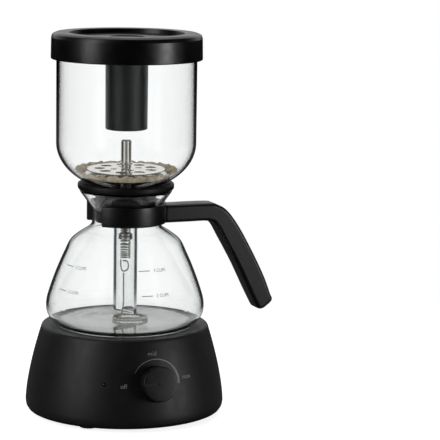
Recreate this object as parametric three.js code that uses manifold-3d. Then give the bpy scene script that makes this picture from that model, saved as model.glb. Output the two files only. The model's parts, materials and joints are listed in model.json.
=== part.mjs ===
// Siphon coffee maker: an electric heating base, a glass carafe with a handle, a brewing bowl whose
// stem reaches down into the carafe, a cloth filter on a spring, and a lid with a stand tube.
// Millimetres. +Z is up, both bowls turn about x = y = 0, the control knob faces -Y and the handle
// +X. z = 0 is the flat underside of the base, and the rubber feet reach a little below it.
import * as THREE from 'three';
import { mergeVertices } from 'three/addons/utils/BufferGeometryUtils.js';
import Module from 'manifold-3d';

// ---- Driving dimensions ----

// Clearances
const gap = 0.3; // between pieces that rest on each other
const fit = 0.5; // between pieces that slide into or over each other

// Base
const baseRadius = 77.7; // widest ring, just above the bottom edge
const ringWidth = 13.2; // from the heater plate's edge to where the wall meets the top ring
const baseHeight = 66;
const baseWidestZ = 5.5;
const baseBottomInset = 2.1; // the bottom edge tucks in by this much
const baseBulge = 1.52; // exponent of the wall's curve
const shoulderRound = 2.3;
const housingWall = 2.4;
const coverThickness = 3;
const footHeight = 3;
const footRadius = 7.5;
const footInset = 13.6; // from the housing's bottom edge to a foot's centre
const bossRadius = 4;
const bossHeight = 33;
const bossInset = 5.2; // from the inner wall at the bottom to a boss's centre
const bossAngle = 20; // degrees either side of the X axis
const bossRibWidth = 2.4;
const screwRadius = 1.5;
const screwLength = 14;
const screwHeadRadius = 3;

// Heater
const plateMargin = 4.9; // the plate's edge lies this far outside the carafe's flat bottom
const plateSink = 1.2; // the plate's top lies this far under the base's top ring
const plateRimThickness = 2.6;
const plateThickness = 7;
const plateRecessRadius = 38.5;
const plateRecessDepth = 2.2;
const sealThickness = 1.6;
const sealWidth = 5.9;
const elementRingRadius = 31;
const elementRadius = 3.3;
const reflectorRadius = 43;
const reflectorDepth = 9;
const reflectorSheet = 0.8;
const postRadius = 2.5;

// Control
const knobRadius = 14;
const knobHeight = 7.5;
const knobZ = 33.7;
const shaftRadius = 3;
const bushRadius = 4.4;
const switchWidth = 27;
const switchHeight = 24;
const switchDepth = 16;
const switchNutRadius = 7;
const lampAngle = 31.5; // degrees round the base from the knob to the pilot lamp
const lampRadius = 1.2;
const pilotRadius = 3; // the lamp body behind the lens
const pilotLength = 10.6;
const cordRadius = 4;
const inletZ = 16;

// Carafe
const carafeRadius = 61.7;
const carafeCorner = 15;
const carafeBand = 2.8; // height of the straight band at the widest ring
const carafeShoulderHeight = 65; // from the widest ring up to the neck
const neckRadius = 26;
const neckHeight = 9;
const lipRadius = 36.2;
const lipHeight = 14.5;
const glassWall = 2;
const carafeFloor = 3.6;

// Handle
const bandRadius = 31.6;
const bandHeight = 15.7;
const bandOpening = 70; // degrees left open at the back of the band
const handleReach = 122.7;
const handleDrop = 88; // from the bar's top edge down to its tip
const handleBarWidth = 14;
const handleThickness = 18.5;
const handleEdge = 1.6;

// Upper bowl
const bowlRadius = 54.2;
const bowlCylinderHeight = 82.3;
const bowlDishDepth = 37.7;
const bowlSeat = 0.5; // from the carafe's lip up to where the dish would meet the axis
const stemRadius = 9.2;
const stemEndHeight = 7.9; // from the carafe's bottom up to the stem's end
const stemSlant = 4;
const gasketRadius = 37.6;
const gasketRise = 6.5; // from the carafe's lip to the gasket's top

// Lid
const lidHeight = 20.3;
const lidWall = 3;
const lidPlate = 2.4;
const lidRecessRadius = 44.5;
const lidRecessDepth = 4;
const lidEdge = 3;
const tubeRadius = 16.7;
const tubeWall = 2;
const tubeLength = 71;

// Filter
const filterClearance = 4.97; // from the lower disc's edge to the dish, level with it
const filterDiscInset = 1.7; // the upper disc is this much smaller
const filterSheet = 0.8;
const filterRise = 16; // from the dish's lowest point to the upper disc
const filterSpacing = 2.7;
const filterPostRadius = 4.1;
const filterPostHeight = 22.5;
const studRadius = 2.2;
const clothClearance = 1.98; // from the cloth's edge to the dish, level with it
const clothRise = 3; // from the lower disc's top to the cloth's edge
const clothThickness = 1.1;
const springRadius = 4.25;
const springLength = 62;
const springWire = 1.05;
const hookLength = 9;
const wireRadius = 0.6;
const chainRadius = 13;
const chainBall = 1.5;

// Facets round a turned piece
const largeFacets = 32;
const smallFacets = 12;

// ---- Places worked out from the sizes above ----

const plateRadius = carafeRadius - carafeCorner + plateMargin;
const baseShoulderRadius = plateRadius + ringWidth;
const plateTop = baseHeight - plateSink;
const plateBottom = plateTop - plateThickness;
const plateOpening = plateRadius + 3 * gap;
const sealBottom = plateTop - plateRimThickness - gap - sealThickness;
const reflectorBottom = plateBottom - 1 - reflectorDepth;
const carafeBottom = plateTop + gap;
const carafeWidestZ = carafeBottom + carafeCorner + carafeBand;
const neckBottom = carafeWidestZ + carafeShoulderHeight;
const neckTop = neckBottom + neckHeight;
const lipTop = neckTop + lipHeight;
const bowlLowest = lipTop - bowlSeat;
const bowlWallBottom = bowlLowest + bowlDishDepth;
const bowlRim = bowlWallBottom + bowlCylinderHeight;
const stemEnd = carafeBottom + stemEndHeight;
const lidTop = bowlRim + gap + lidPlate;
const lidFloor = lidTop - lidRecessDepth;
const discZ = bowlLowest + filterRise;
const lowerDiscZ = discZ - filterSpacing - filterSheet;
const clothZ = lowerDiscZ - gap - clothThickness;
const dishInside = (z) => (bowlRadius - glassWall)
  * Math.sqrt(1 - ((bowlWallBottom - z) / (bowlDishDepth - glassWall)) ** 2);
const filterLowerRadius = dishInside(lowerDiscZ) - filterClearance;
const filterDiscRadius = filterLowerRadius - filterDiscInset;
const clothTop = lowerDiscZ + filterSheet + clothRise;
const clothRadius = dishInside(clothTop) - clothClearance;
const nutHeight = 2.6;
const nutRadius = 4.6;
const nutZ = clothZ - gap - nutHeight;
const springTop = nutZ - gap;
const springBottom = springTop - springLength;
const baseBottomRadius = baseRadius - baseBottomInset;

// ---- Solids ----

const wasm = await Module();
wasm.setup();

const radians = THREE.MathUtils.degToRad;
const polar = (radius, degrees) => [
  radius * Math.cos(radians(degrees)),
  radius * Math.sin(radians(degrees)),
];

// A closed geometry as a solid that can be cut and joined.
function solidOf(geometry) {
  const bare = new THREE.BufferGeometry();
  bare.setAttribute('position', geometry.getAttribute('position'));
  bare.setIndex(geometry.index);
  const merged = mergeVertices(bare);
  const mesh = new wasm.Mesh({
    numProp: 3,
    vertProperties: merged.attributes.position.array,
    triVerts: new Uint32Array(merged.index.array),
  });
  return new wasm.Manifold(mesh);
}

function geometryOf(solid) {
  const { vertProperties, triVerts } = solid.getMesh();
  const geometry = new THREE.BufferGeometry();
  geometry.setAttribute('position', new THREE.Float32BufferAttribute(vertProperties, 3));
  geometry.setIndex(new THREE.BufferAttribute(triVerts, 1));
  geometry.computeVertexNormals();
  return geometry;
}

const cut = (body, tools) =>
  geometryOf(tools.reduce((left, tool) => left.subtract(solidOf(tool)), solidOf(body)));
const join = (pieces) => geometryOf(pieces.map(solidOf).reduce((whole, piece) => whole.add(piece)));

// A profile of [radius, z] points, counter-clockwise, turned about Z.
function turned(profile, facets = largeFacets) {
  const points = profile.map(([r, z]) => new THREE.Vector2(r, z));
  if (profile[0][0] > 0) points.push(points[0].clone());
  return new THREE.LatheGeometry(points, facets).rotateX(Math.PI / 2);
}

const rod = (radius, low, high, facets = smallFacets) =>
  turned([[0, low], [radius, low], [radius, high], [0, high]], facets);
const ring = (inner, outer, low, high, facets = largeFacets) =>
  turned([[inner, low], [outer, low], [outer, high], [inner, high]], facets);
const box = (width, depth, height, x, y, z) =>
  new THREE.BoxGeometry(width, depth, height).translate(x, y, z);
const hexagon = (radius, low, high) => rod(radius, low, high, 6);

// A round bar along a smooth curve through the points.
function bar(points, radius, steps, sides = 8) {
  const line = points.map((p) => new THREE.Vector3(...p));
  const curve = new THREE.CatmullRomCurve3(line, false, 'centripetal');
  const corners = Array.from({ length: sides }, (_, i) =>
    new THREE.Vector2(...polar(radius, (i * 360) / sides)));
  return new THREE.ExtrudeGeometry(new THREE.Shape(corners), {
    extrudePath: curve, steps, bevelEnabled: false,
  });
}

// An outline moved sideways: to its left where the distance is positive.
function offset(outline, distance) {
  return outline.map(([r, z], i) => {
    const [r0, z0] = outline[Math.max(i - 1, 0)];
    const [r1, z1] = outline[Math.min(i + 1, outline.length - 1)];
    const length = Math.hypot(r1 - r0, z1 - z0);
    return [r - (distance * (z1 - z0)) / length, z + (distance * (r1 - r0)) / length];
  });
}

// The stretch of a rising outline between two heights, with the ends inside it worked out.
function stretch(outline, low, high) {
  const at = (z) => {
    const i = outline.findIndex((point, n) => n > 0 && point[1] >= z && outline[n - 1][1] < z);
    if (i < 0) return [];
    const [[r0, z0], [r1, z1]] = [outline[i - 1], outline[i]];
    return [[r0 + ((r1 - r0) * (z - z0)) / (z1 - z0), z]];
  };
  return [...at(low), ...outline.filter(([, z]) => z > low && z < high), ...at(high)];
}

function smooth(points, steps) {
  const curve = new THREE.SplineCurve(points.map(([r, z]) => new THREE.Vector2(r, z)));
  return curve.getPoints(steps).map(({ x, y }) => [x, y]);
}

const arc = (r, z, radius, from, to, steps) =>
  Array.from({ length: steps + 1 }, (_, i) => {
    const [dr, dz] = polar(radius, from + ((to - from) * i) / steps);
    return [r + dr, z + dz];
  });

// ---- Materials ----

const finish = (color, roughness, metalness, more = {}) =>
  new THREE.MeshStandardMaterial({ color, roughness, metalness, ...more });
const blackPlastic = finish(0x1b1c1d, 0.5, 0);
const darkResin = finish(0x2a2927, 0.6, 0);
const rubber = finish(0x141414, 0.85, 0);
const glass = finish(0xeef3f2, 0.05, 0, { transparent: true, opacity: 0.3 });
const lensPlastic = finish(0x5a1710, 0.2, 0);
const castAluminium = finish(0xc9cacb, 0.3, 1);
const stainless = finish(0xb9b6b2, 0.18, 1);
const zincSteel = finish(0x9a9c9e, 0.4, 1);
const ceramic = finish(0xe6e1d6, 0.7, 0);
const silicone = finish(0x6d6a66, 0.7, 0);
const cotton = finish(0xb9a88b, 0.95, 0);
const wireCover = finish(0x8f8f8c, 0.7, 0);

const base = new THREE.Group();
const carafe = new THREE.Group();
const bowl = new THREE.Group();
const filter = new THREE.Group();
const lid = new THREE.Group();

// Each call makes one sub-part; a later clone of the material keeps colours apart per piece.
function add(parent, name, geometry, material) {
  const mesh = new THREE.Mesh(geometry, material.clone());
  mesh.name = name;
  parent.add(mesh);
  return mesh;
}

// ---- Base housing ----

function wallRadius(z) {
  const share = Math.max(z - baseWidestZ, 0) / (baseHeight - baseWidestZ);
  return baseRadius - (baseRadius - baseShoulderRadius) * share ** baseBulge;
}

// A group on the outer wall: its Z axis points straight out of the wall and its Y axis up the wall.
function onWall(degrees, z) {
  const slope = Math.atan(wallRadius(z - 0.5) - wallRadius(z + 0.5));
  const [cos, sin] = polar(1, degrees);
  const outward = new THREE.Vector3(cos * Math.cos(slope), sin * Math.cos(slope), Math.sin(slope));
  const across = new THREE.Vector3(-sin, cos, 0);
  const group = new THREE.Group();
  group.quaternion.setFromRotationMatrix(
    new THREE.Matrix4().makeBasis(across, outward.clone().cross(across), outward),
  );
  group.position.set(wallRadius(z) * cos, wallRadius(z) * sin, z);
  group.updateMatrix();
  base.add(group);
  return group;
}

const dialPlace = onWall(-90, knobZ);
const lampPlace = onWall(-90 - lampAngle, knobZ);
const inletPlace = onWall(90, inletZ);
const inPlace = (place, geometry) => geometry.applyMatrix4(place.matrix);

const bushHole = bushRadius + fit;
const lampHole = lampRadius + fit;
const inletHole = cordRadius + 3;
const bossCentre = baseBottomRadius - housingWall - bossInset;
const bossAngles = [bossAngle, 180 - bossAngle, 180 + bossAngle, -bossAngle];
const bossLow = coverThickness + gap;
const bossTop = bossLow + bossHeight;

// A screw boss and the rib that ties it to the wall, which leans in to meet it at its top.
function boss(degrees) {
  const ribLength = wallRadius(bossTop) - housingWall * 0.75 - bossCentre;
  const rib = box(ribLength, bossRibWidth, bossHeight, ribLength / 2, 0, (bossLow + bossTop) / 2);
  return join([rod(bossRadius, bossLow, bossTop, 12), rib.rotateZ(radians(degrees))])
    .translate(...polar(bossCentre, degrees), 0);
}

function housing() {
  const wallHeight = baseHeight - shoulderRound - baseWidestZ;
  const levels = Array.from({ length: 5 }, (_, i) => baseWidestZ + (wallHeight * i) / 4);
  const top = wallRadius(levels[4]);
  const outer = [
    [baseBottomRadius, 0],
    [baseRadius - baseBottomInset * 0.2, baseWidestZ * 0.5],
    ...levels.map((z) => [wallRadius(z), z]),
    [top - shoulderRound * 0.3, baseHeight - shoulderRound * 0.25],
    [top - shoulderRound, baseHeight],
    [plateOpening, baseHeight],
  ];
  const seat = [
    [plateOpening, sealBottom - gap],
    [plateOpening - sealWidth, sealBottom - gap],
    [plateOpening - sealWidth, sealBottom - gap - housingWall],
    [plateOpening + housingWall, sealBottom - gap - housingWall],
    [plateOpening + housingWall, baseHeight - housingWall],
  ];
  const ceiling = baseHeight - housingWall;
  const inner = levels.slice().reverse().map((z) => [wallRadius(z) - housingWall, Math.min(z, ceiling)]);
  const shell = turned([...outer, ...seat, ...inner, [baseBottomRadius - housingWall, 0]]);
  const pilots = bossAngles.map((degrees) =>
    rod(screwRadius + gap, bossLow - 1, coverThickness + screwLength + 2, 12)
      .translate(...polar(bossCentre, degrees), 0));
  const wallHole = (place, radius) => inPlace(place, rod(radius, -3 * housingWall, housingWall));
  return cut(join([shell, ...bossAngles.map(boss)]), [
    ...pilots,
    wallHole(dialPlace, bushHole),
    wallHole(lampPlace, lampHole),
    wallHole(inletPlace, inletHole),
  ]);
}

add(base, 'base_housing', housing(), blackPlastic);

// ---- Bottom cover, its screws and the feet ----

const coverRadius = baseBottomRadius - housingWall - fit;
const footCentre = baseBottomRadius - footInset;
const footAngles = { front_left: -135, front_right: -45, back_right: 45, back_left: 135 };
const footNeck = 2.5;
const screwHeadHeight = 1.4;

function cover() {
  const below = -1;
  const above = coverThickness + 1;
  const headDepth = screwHeadHeight + 2 * gap;
  const vents = [-3, -2, -1, 1, 2, 3].map((n) =>
    box(3, 44 - 6 * Math.abs(n), above - below, n * 9, 0, (above + below) / 2));
  const footHoles = Object.values(footAngles).map((degrees) =>
    rod(footNeck + gap, below, above).translate(...polar(footCentre, degrees), 0));
  const screwHoles = bossAngles.flatMap((degrees) => [
    rod(screwRadius + gap, below, above, 12).translate(...polar(bossCentre, degrees), 0),
    rod(screwHeadRadius + gap, below, headDepth, 16).translate(...polar(bossCentre, degrees), 0),
  ]);
  return cut(rod(coverRadius, 0, coverThickness, largeFacets), [...vents, ...footHoles, ...screwHoles]);
}

function foot() {
  const neckTopZ = coverThickness + gap;
  return turned([
    [0, -footHeight], [footRadius - 0.8, -footHeight], [footRadius, 0.6 - footHeight],
    [footRadius, -gap], [footNeck, -gap], [footNeck, neckTopZ], [footNeck + 1, neckTopZ],
    [footNeck, neckTopZ + 2.4], [0, neckTopZ + 2.4],
  ], smallFacets);
}

function coverScrew() {
  const head = 0.3;
  return turned([
    [0, head], [screwHeadRadius, head], [screwHeadRadius, head + screwHeadHeight],
    [screwRadius, head + screwHeadHeight], [screwRadius, screwLength], [0, screwLength + 1],
  ], 12);
}

add(base, 'base_bottom_cover', cover(), blackPlastic);
for (const [corner, degrees] of Object.entries(footAngles))
  add(base, `foot_${corner}`, foot(), rubber).position.set(...polar(footCentre, degrees), 0);
bossAngles.forEach((degrees, i) =>
  add(base, `cover_screw_${i + 1}`, coverScrew(), zincSteel)
    .position.set(...polar(bossCentre, degrees), 0));

// ---- Heater ----

const postCentre = (elementRingRadius + elementRadius + reflectorRadius) / 2 - 0.4;
const postAngles = [30, 150, 270];
const elementZ = plateBottom - fit - gap - elementRadius;
const elementEnds = [105, 435];
const elementEndZ = reflectorBottom - 4;

function heaterPlate() {
  const bossEdge = plateOpening - sealWidth - 2;
  return turned([
    [0, plateBottom], [bossEdge, plateBottom], [bossEdge, plateTop - plateRimThickness],
    [plateRadius, plateTop - plateRimThickness], [plateRadius, plateTop - 0.5],
    [plateRadius - 0.5, plateTop],
    [plateRecessRadius + 1, plateTop], [plateRecessRadius, plateTop - plateRecessDepth],
    [0, plateTop - plateRecessDepth],
  ]);
}

function heatingElement() {
  const [from, to] = elementEnds;
  const turns = 16;
  const around = Array.from({ length: turns + 1 }, (_, i) =>
    [...polar(elementRingRadius, from + ((to - from) * i) / turns), elementZ]);
  const down = (degrees) =>
    [elementZ - 4, elementEndZ].map((z) => [...polar(elementRingRadius, degrees), z]);
  return bar([...down(from - 3).reverse(), ...around, ...down(to + 3)], elementRadius, 40);
}

function reflector() {
  const floor = reflectorBottom;
  const rim = floor + reflectorDepth;
  const inside = reflectorRadius - reflectorSheet;
  const pan = turned([
    [0, floor], [reflectorRadius, floor], [reflectorRadius, rim], [inside, rim],
    [inside, floor + reflectorSheet], [0, floor + reflectorSheet],
  ]);
  const hole = (radius, centre, degrees) =>
    rod(radius, floor - 1, floor + 3, 16).translate(...polar(centre, degrees), 0);
  return cut(pan, [
    rod(12, floor - 1, floor + 3),
    ...postAngles.map((degrees) => hole(postRadius + fit, postCentre, degrees)),
    ...[elementEnds[0] - 3, elementEnds[1] + 3].map((degrees) =>
      hole(elementRadius + 1, elementRingRadius, degrees)),
  ]);
}

function thermostat() {
  const top = plateBottom - gap;
  const body = turned([
    [0, top - 9], [7.5, top - 9], [7.5, top - 3.4], [9, top - 3.4], [9, top - 2.4],
    [6.4, top - 2.4], [6.4, top], [0, top],
  ], smallFacets);
  return join([body, box(5, 0.8, 8, 0, 4, top - 12), box(5, 0.8, 8, 0, -4, top - 12)]);
}

function thermalFuse() {
  const profile = [
    [0, -11], [0.5, -11], [0.5, -6.5], [2.1, -6], [2.1, 6], [0.5, 6.5], [0.5, 11], [0, 11],
  ];
  return turned(profile, 12).rotateX(Math.PI / 2).translate(-19, 0, plateBottom - gap - 2.1);
}

add(base, 'heater_plate', heaterPlate(), castAluminium);
const sealInside = plateOpening - sealWidth + gap;
const sealTop = sealBottom + sealThickness;
add(base, 'plate_seal_ring', ring(sealInside, plateOpening - fit, sealBottom, sealTop), silicone);
add(base, 'heating_element', heatingElement(), stainless);
add(base, 'heat_reflector', reflector(), zincSteel);
const heaterPost = () => rod(postRadius, coverThickness + gap, plateBottom - gap, 12);
postAngles.forEach((degrees, i) =>
  add(base, `heater_post_${i + 1}`, heaterPost(), zincSteel)
    .position.set(...polar(postCentre, degrees), 0));
add(base, 'thermostat', thermostat(), ceramic);
add(base, 'thermal_fuse', thermalFuse(), ceramic);

// ---- Control switch, knob and pilot lamp ----

// How far the inner wall falls behind the tangent plane at the switch's edges.
const wallSag = 1.2 * (wallRadius(knobZ) - Math.sqrt(wallRadius(knobZ) ** 2 - (switchWidth / 2) ** 2));
const switchFace = -(housingWall + wallSag + 1);
const shaftEnd = switchFace - switchDepth + 4;
const knobBack = 0.9;
const knobFace = knobBack + knobHeight;
const knobSkin = 1.6;
const nutTop = 2.4;

function controlSwitch() {
  const body = box(switchWidth, switchHeight, switchDepth, 0, 0, switchFace - switchDepth / 2);
  const bush = rod(bushRadius, switchFace - 1, nutTop);
  const bladeZ = switchFace - switchDepth - 3;
  const blades = [-8, 0, 8].map((x) => box(4, 0.8, 7, x, -switchHeight / 4, bladeZ));
  return cut(join([body, bush, ...blades]), [rod(shaftRadius + gap, shaftEnd - gap, nutTop + 1)]);
}

function knob() {
  const socket = shaftRadius + gap;
  const body = turned([
    [0, knobFace - knobSkin], [socket, knobFace - knobSkin], [socket, nutTop + gap], [6.2, nutTop + gap],
    [6.2, knobFace - knobSkin], [knobRadius - 2, knobFace - knobSkin], [knobRadius - 1.8, knobBack],
    [knobRadius, knobBack], [knobRadius - 0.5, knobFace - 0.8], [knobRadius - 1.2, knobFace],
    [0, knobFace],
  ], largeFacets);
  const groove = box(knobRadius, 1.1, 1.2, -knobRadius / 2 - 0.2, 0, knobFace);
  return cut(body, [groove]);
}

add(dialPlace, 'control_switch', controlSwitch(), darkResin);
const switchNut = cut(hexagon(switchNutRadius, gap, nutTop - gap), [rod(bushRadius + gap, -1, nutTop + 1)]);
add(dialPlace, 'switch_nut', switchNut, zincSteel);
add(dialPlace, 'switch_shaft', rod(shaftRadius, shaftEnd, knobFace - knobSkin - gap), zincSteel);
add(dialPlace, 'knob', knob(), blackPlastic);
add(lampPlace, 'indicator_lens', turned([
  [0, -housingWall - 2], [lampRadius + 1.6, -housingWall - 2], [lampRadius + 1.6, -housingWall - 1],
  [lampRadius, -housingWall - 1], [lampRadius, -0.2], [0, 0.1],
], 12), lensPlastic);
const pilotTop = -housingWall - 2 - gap;
add(lampPlace, 'pilot_lamp', rod(pilotRadius, pilotTop - pilotLength, pilotTop, 12), ceramic);

// ---- Cord inlet and terminal block ----

const inletFlange = inletHole + 2.2;
const terminalY = 44;
const terminalWidth = 26;
const terminalDepth = 12;
const terminalHeight = 11;
const terminalPitch = 8;
const terminalHole = 1.8;

function cordInlet() {
  const back = -housingWall - 1.2;
  const body = inletHole - fit;
  return turned([
    [cordRadius, back - 3], [body + 1.6, back - 3], [body + 1.6, back], [body, back], [body, 1],
    [inletFlange, 1], [inletFlange - 0.8, 3], [cordRadius + 2.4, 4.5], [cordRadius, 4.5],
  ], smallFacets);
}

function terminalBlock() {
  const z = coverThickness + gap;
  const top = z + terminalHeight;
  const body = box(terminalWidth, terminalDepth, terminalHeight, 0, terminalY, z + terminalHeight / 2);
  const slots = [-1, 0, 1].map((n) =>
    rod(terminalHole, top - 4, top + 1, 10).translate(n * terminalPitch, terminalY, 0));
  return cut(body, slots);
}

add(inletPlace, 'cord_inlet', cordInlet(), rubber);
add(base, 'terminal_block', terminalBlock(), ceramic);

// ---- Internal leads ----

const leadRadius = 1.1;
const underReflector = reflectorBottom - 8;
const bladeEnd = plateBottom - gap - 16 - leadRadius - gap;
const blockTop = coverThickness + gap + terminalHeight;
const switchY = -wallRadius(knobZ) - switchFace + switchDepth;

function lead(points) {
  return bar(points, leadRadius, 16, 6);
}

const endX = (degrees) => polar(elementRingRadius, degrees);
add(base, 'lead_live', lead([
  [-8, terminalY, blockTop + 1.5], [-12, 36, underReflector - 6], [-20, 4, underReflector - 10],
  [-12, switchY + 26, 22], [-8, switchY + 12, knobZ - 10],
]), wireCover);
add(base, 'lead_switched', lead([
  [8, switchY + 12, knobZ - 10], [10, switchY + 24, underReflector - 6],
  [6, -10, underReflector - 3], [0, -4, bladeEnd],
]), wireCover);
add(base, 'lead_element', lead([
  [0, 4, bladeEnd], [3, 12, underReflector - 3], [endX(78)[0], endX(78)[1] - 6, underReflector - 4],
  [...endX(78), elementEndZ - 2],
]), wireCover);
add(base, 'lead_neutral', lead([
  [8, terminalY, blockTop + 1.5], [4, 38, blockTop + 8],
  [endX(102)[0], endX(102)[1] + 3, underReflector - 6], [...endX(102), elementEndZ - 2],
]), wireCover);

// ---- Carafe ----

// The shoulder from the widest ring (1, 0) to the neck (0, 1), as shares of the way in and up.
const shoulder = [
  [1, 0], [0.975, 0.077], [0.891, 0.225], [0.759, 0.42], [0.602, 0.617], [0.465, 0.763],
  [0.235, 0.862], [0.092, 0.911], [0.02, 0.955], [0, 1],
];

const carafeOutline = [
  [0, carafeBottom],
  ...arc(carafeRadius - carafeCorner, carafeBottom + carafeCorner, carafeCorner, -90, 0, 3),
  ...smooth(shoulder.map(([across, up]) => [
    neckRadius + (carafeRadius - neckRadius) * across, carafeWidestZ + carafeShoulderHeight * up,
  ]), 9),
  [neckRadius, neckTop],
  [neckRadius + (lipRadius - neckRadius) * 0.25, neckTop + lipHeight * 0.25],
  [lipRadius, lipTop],
];

function carafeGlass() {
  const floor = carafeBottom + carafeFloor;
  const inner = stretch(offset(carafeOutline.slice(1), glassWall), floor, lipTop + glassWall);
  return turned([...carafeOutline, ...inner.reverse(), [0, floor]]);
}

// ---- Handle ----

const bandLow = neckBottom + (neckHeight - bandHeight) / 2 + 1.5;
const bandTop = bandLow + bandHeight;
const barTop = bandTop - 2.7;

// The bar's outline: both edges of a smooth centre line, with a round tip.
function handleOutline() {
  const half = handleBarWidth / 2;
  const start = bandRadius - 2.6;
  const reach = handleReach - half - start;
  const fall = handleDrop - handleBarWidth;
  const along = [[0, 0], [0.42, 0.0], [0.56, 0.07], [0.66, 0.24], [0.83, 0.6], [0.96, 0.9], [1, 1]];
  const line = smooth(along.map(([x, z]) => [start + reach * x, barTop - half - fall * z]), 18);
  const upper = offset(line, half);
  const lower = offset(line, -half);
  const [[x0, z0], [x1, z1]] = line.slice(-2);
  const heading = THREE.MathUtils.radToDeg(Math.atan2(z1 - z0, x1 - x0));
  const tip = arc(x1, z1, half, heading + 60, heading - 60, 4);
  return new THREE.Shape([...upper, ...tip, ...lower.reverse()].map(([x, z]) => new THREE.Vector2(x, z)));
}

function handle() {
  const neck = offset(stretch(carafeOutline, bandLow, bandTop), -fit);
  const around = turned([[bandRadius, bandLow], [bandRadius, bandTop], ...neck.reverse().map(
    ([r, z]) => [r, Math.min(Math.max(z, bandLow), bandTop)],
  )]);
  const wedge = new THREE.Shape([[0, 0], ...[-1, 1].map((side) =>
    polar(3 * bandRadius, 180 + (side * bandOpening) / 2))].map(([x, y]) => new THREE.Vector2(x, y)));
  const opening = new THREE.ExtrudeGeometry(wedge, { depth: 2 * bandHeight, bevelEnabled: false })
    .translate(0, 0, bandLow - bandHeight / 2);
  const straight = new THREE.ExtrudeGeometry(handleOutline(), {
    depth: handleThickness - 2 * handleEdge, bevelEnabled: true, bevelSegments: 1,
    bevelSize: handleEdge, bevelThickness: handleEdge, bevelOffset: -handleEdge,
  }).translate(0, 0, handleEdge - handleThickness / 2).rotateX(Math.PI / 2);
  return join([cut(around, [opening]), straight]);
}

add(carafe, 'carafe_glass', carafeGlass(), glass);
add(carafe, 'handle', handle(), blackPlastic);

// ---- Upper bowl and its gasket ----

const dishZ = (r) => bowlWallBottom - bowlDishDepth * Math.sqrt(1 - (r / bowlRadius) ** 2);
const stemJoin = 16; // radius where the dish takes over from the fillet above the stem
const dishAngles = Array.from({ length: 7 }, (_, i) => {
  const from = Math.asin(stemJoin / bowlRadius);
  return from + ((Math.PI / 2 - from) * i) / 6;
});

const bowlOutline = [
  [stemRadius, stemEnd],
  [stemRadius, dishZ(stemJoin) - 7],
  [stemRadius + 0.5, dishZ(stemJoin) - 3.4],
  [stemRadius + 2.4, dishZ(stemJoin) - 1.2],
  ...dishAngles.map((angle) => [
    bowlRadius * Math.sin(angle),
    bowlWallBottom - bowlDishDepth * Math.cos(angle),
  ]),
  [bowlRadius, bowlRim],
];

function bowlGlass() {
  const body = turned([...bowlOutline, ...offset(bowlOutline, glassWall).reverse()]);
  const slant = Math.atan(stemSlant / (2 * stemRadius));
  const end = box(6 * stemRadius, 6 * stemRadius, 20, 0, 0, -10).rotateY(slant)
    .translate(0, 0, stemEnd + stemSlant / 2);
  return cut(body, [end]);
}

function gasket() {
  const bore = stemRadius + gap;
  const low = neckBottom - 1;
  const plug = neckRadius - glassWall - fit;
  const top = lipTop + gasketRise;
  const seat = offset(stretch(bowlOutline, stemEnd + 1, top + fit), -fit)
    .filter(([, z]) => z > neckTop && z < top);
  return turned([
    [bore, low], [plug - 1, low], [plug, low + 1.5], [plug, neckTop - gap],
    [plug + 2, neckTop + 4.6], [plug + 6.4, lipTop - 2.5],
    [gasketRadius, top - 1.6], [gasketRadius - 0.6, top],
    ...seat.reverse(), [bore, seat[seat.length - 1][1] - 1],
  ]);
}

add(bowl, 'upper_bowl_glass', bowlGlass(), glass);
add(bowl, 'bowl_gasket', gasket(), rubber);

// ---- Lid ----

function lidCap() {
  const inner = bowlRadius + 1.3;
  const outer = inner + lidWall;
  const low = lidTop - lidHeight;
  const spigot = bowlRadius - glassWall - 3 * fit;
  return turned([
    [inner + 0.4, low], [outer - 0.6, low], [outer, low + 1], [outer - 0.4, lidTop - lidEdge],
    [outer - 0.4 - lidEdge * 0.3, lidTop - lidEdge * 0.3], [outer - 0.4 - lidEdge, lidTop],
    [lidRecessRadius, lidTop], [lidRecessRadius - 0.6, lidFloor], [tubeRadius + fit, lidFloor],
    [tubeRadius + fit, lidFloor - lidPlate], [spigot, lidFloor - lidPlate], [spigot, lidTop - lidPlate],
    [inner, lidTop - lidPlate],
  ]);
}

// Closed at the top and open below: turned over, it is the socket that the bowl's stem stands in.
function lidTube() {
  const high = lidFloor + 0.8;
  const low = lidFloor - tubeLength;
  const collar = lidFloor - lidPlate - gap;
  const draft = 0.4;
  return turned([
    [0, high - 3], [tubeRadius - tubeWall, high - 3], [tubeRadius - tubeWall - draft, low],
    [tubeRadius - draft - 0.8, low], [tubeRadius - draft, low + 1], [tubeRadius, collar - 2],
    [tubeRadius + 2.4, collar - 2], [tubeRadius + 2.4, collar], [tubeRadius, collar],
    [tubeRadius, high - 0.5],
    [tubeRadius - 0.5, high], [tubeRadius - 2, high], [tubeRadius - 2.5, high - 1], [0, high - 1],
  ], 32);
}

add(lid, 'lid_cap', lidCap(), blackPlastic);
add(lid, 'lid_tube', lidTube(), blackPlastic);

// ---- Filter ----

const boreOfStud = studRadius + gap;

function filterPost() {
  const foot = discZ + filterSheet + gap;
  const top = foot + filterPostHeight;
  return turned([
    [0, nutZ - 1], [studRadius, nutZ - 1], [studRadius, foot], [filterPostRadius, foot],
    [filterPostRadius, foot + 3], [filterPostRadius + 1.1, foot + 3.3],
    [filterPostRadius + 1.1, foot + 4.7],
    [filterPostRadius, foot + 5], [filterPostRadius, top - 1.6], [filterPostRadius - 1.4, top], [0, top],
  ], 24);
}

// A perforated disc: rings of round holes given as [count, centre radius, hole radius].
function perforatedDisc(radius, z, rings) {
  const holes = rings.flatMap(([count, centre, hole]) => Array.from({ length: count }, (_, i) =>
    rod(hole, z - 1, z + 2, 8).translate(...polar(centre, (i * 360) / count), 0)));
  return cut(rod(radius, z, z + filterSheet, largeFacets), [rod(boreOfStud, z - 1, z + 2), ...holes]);
}

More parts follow.
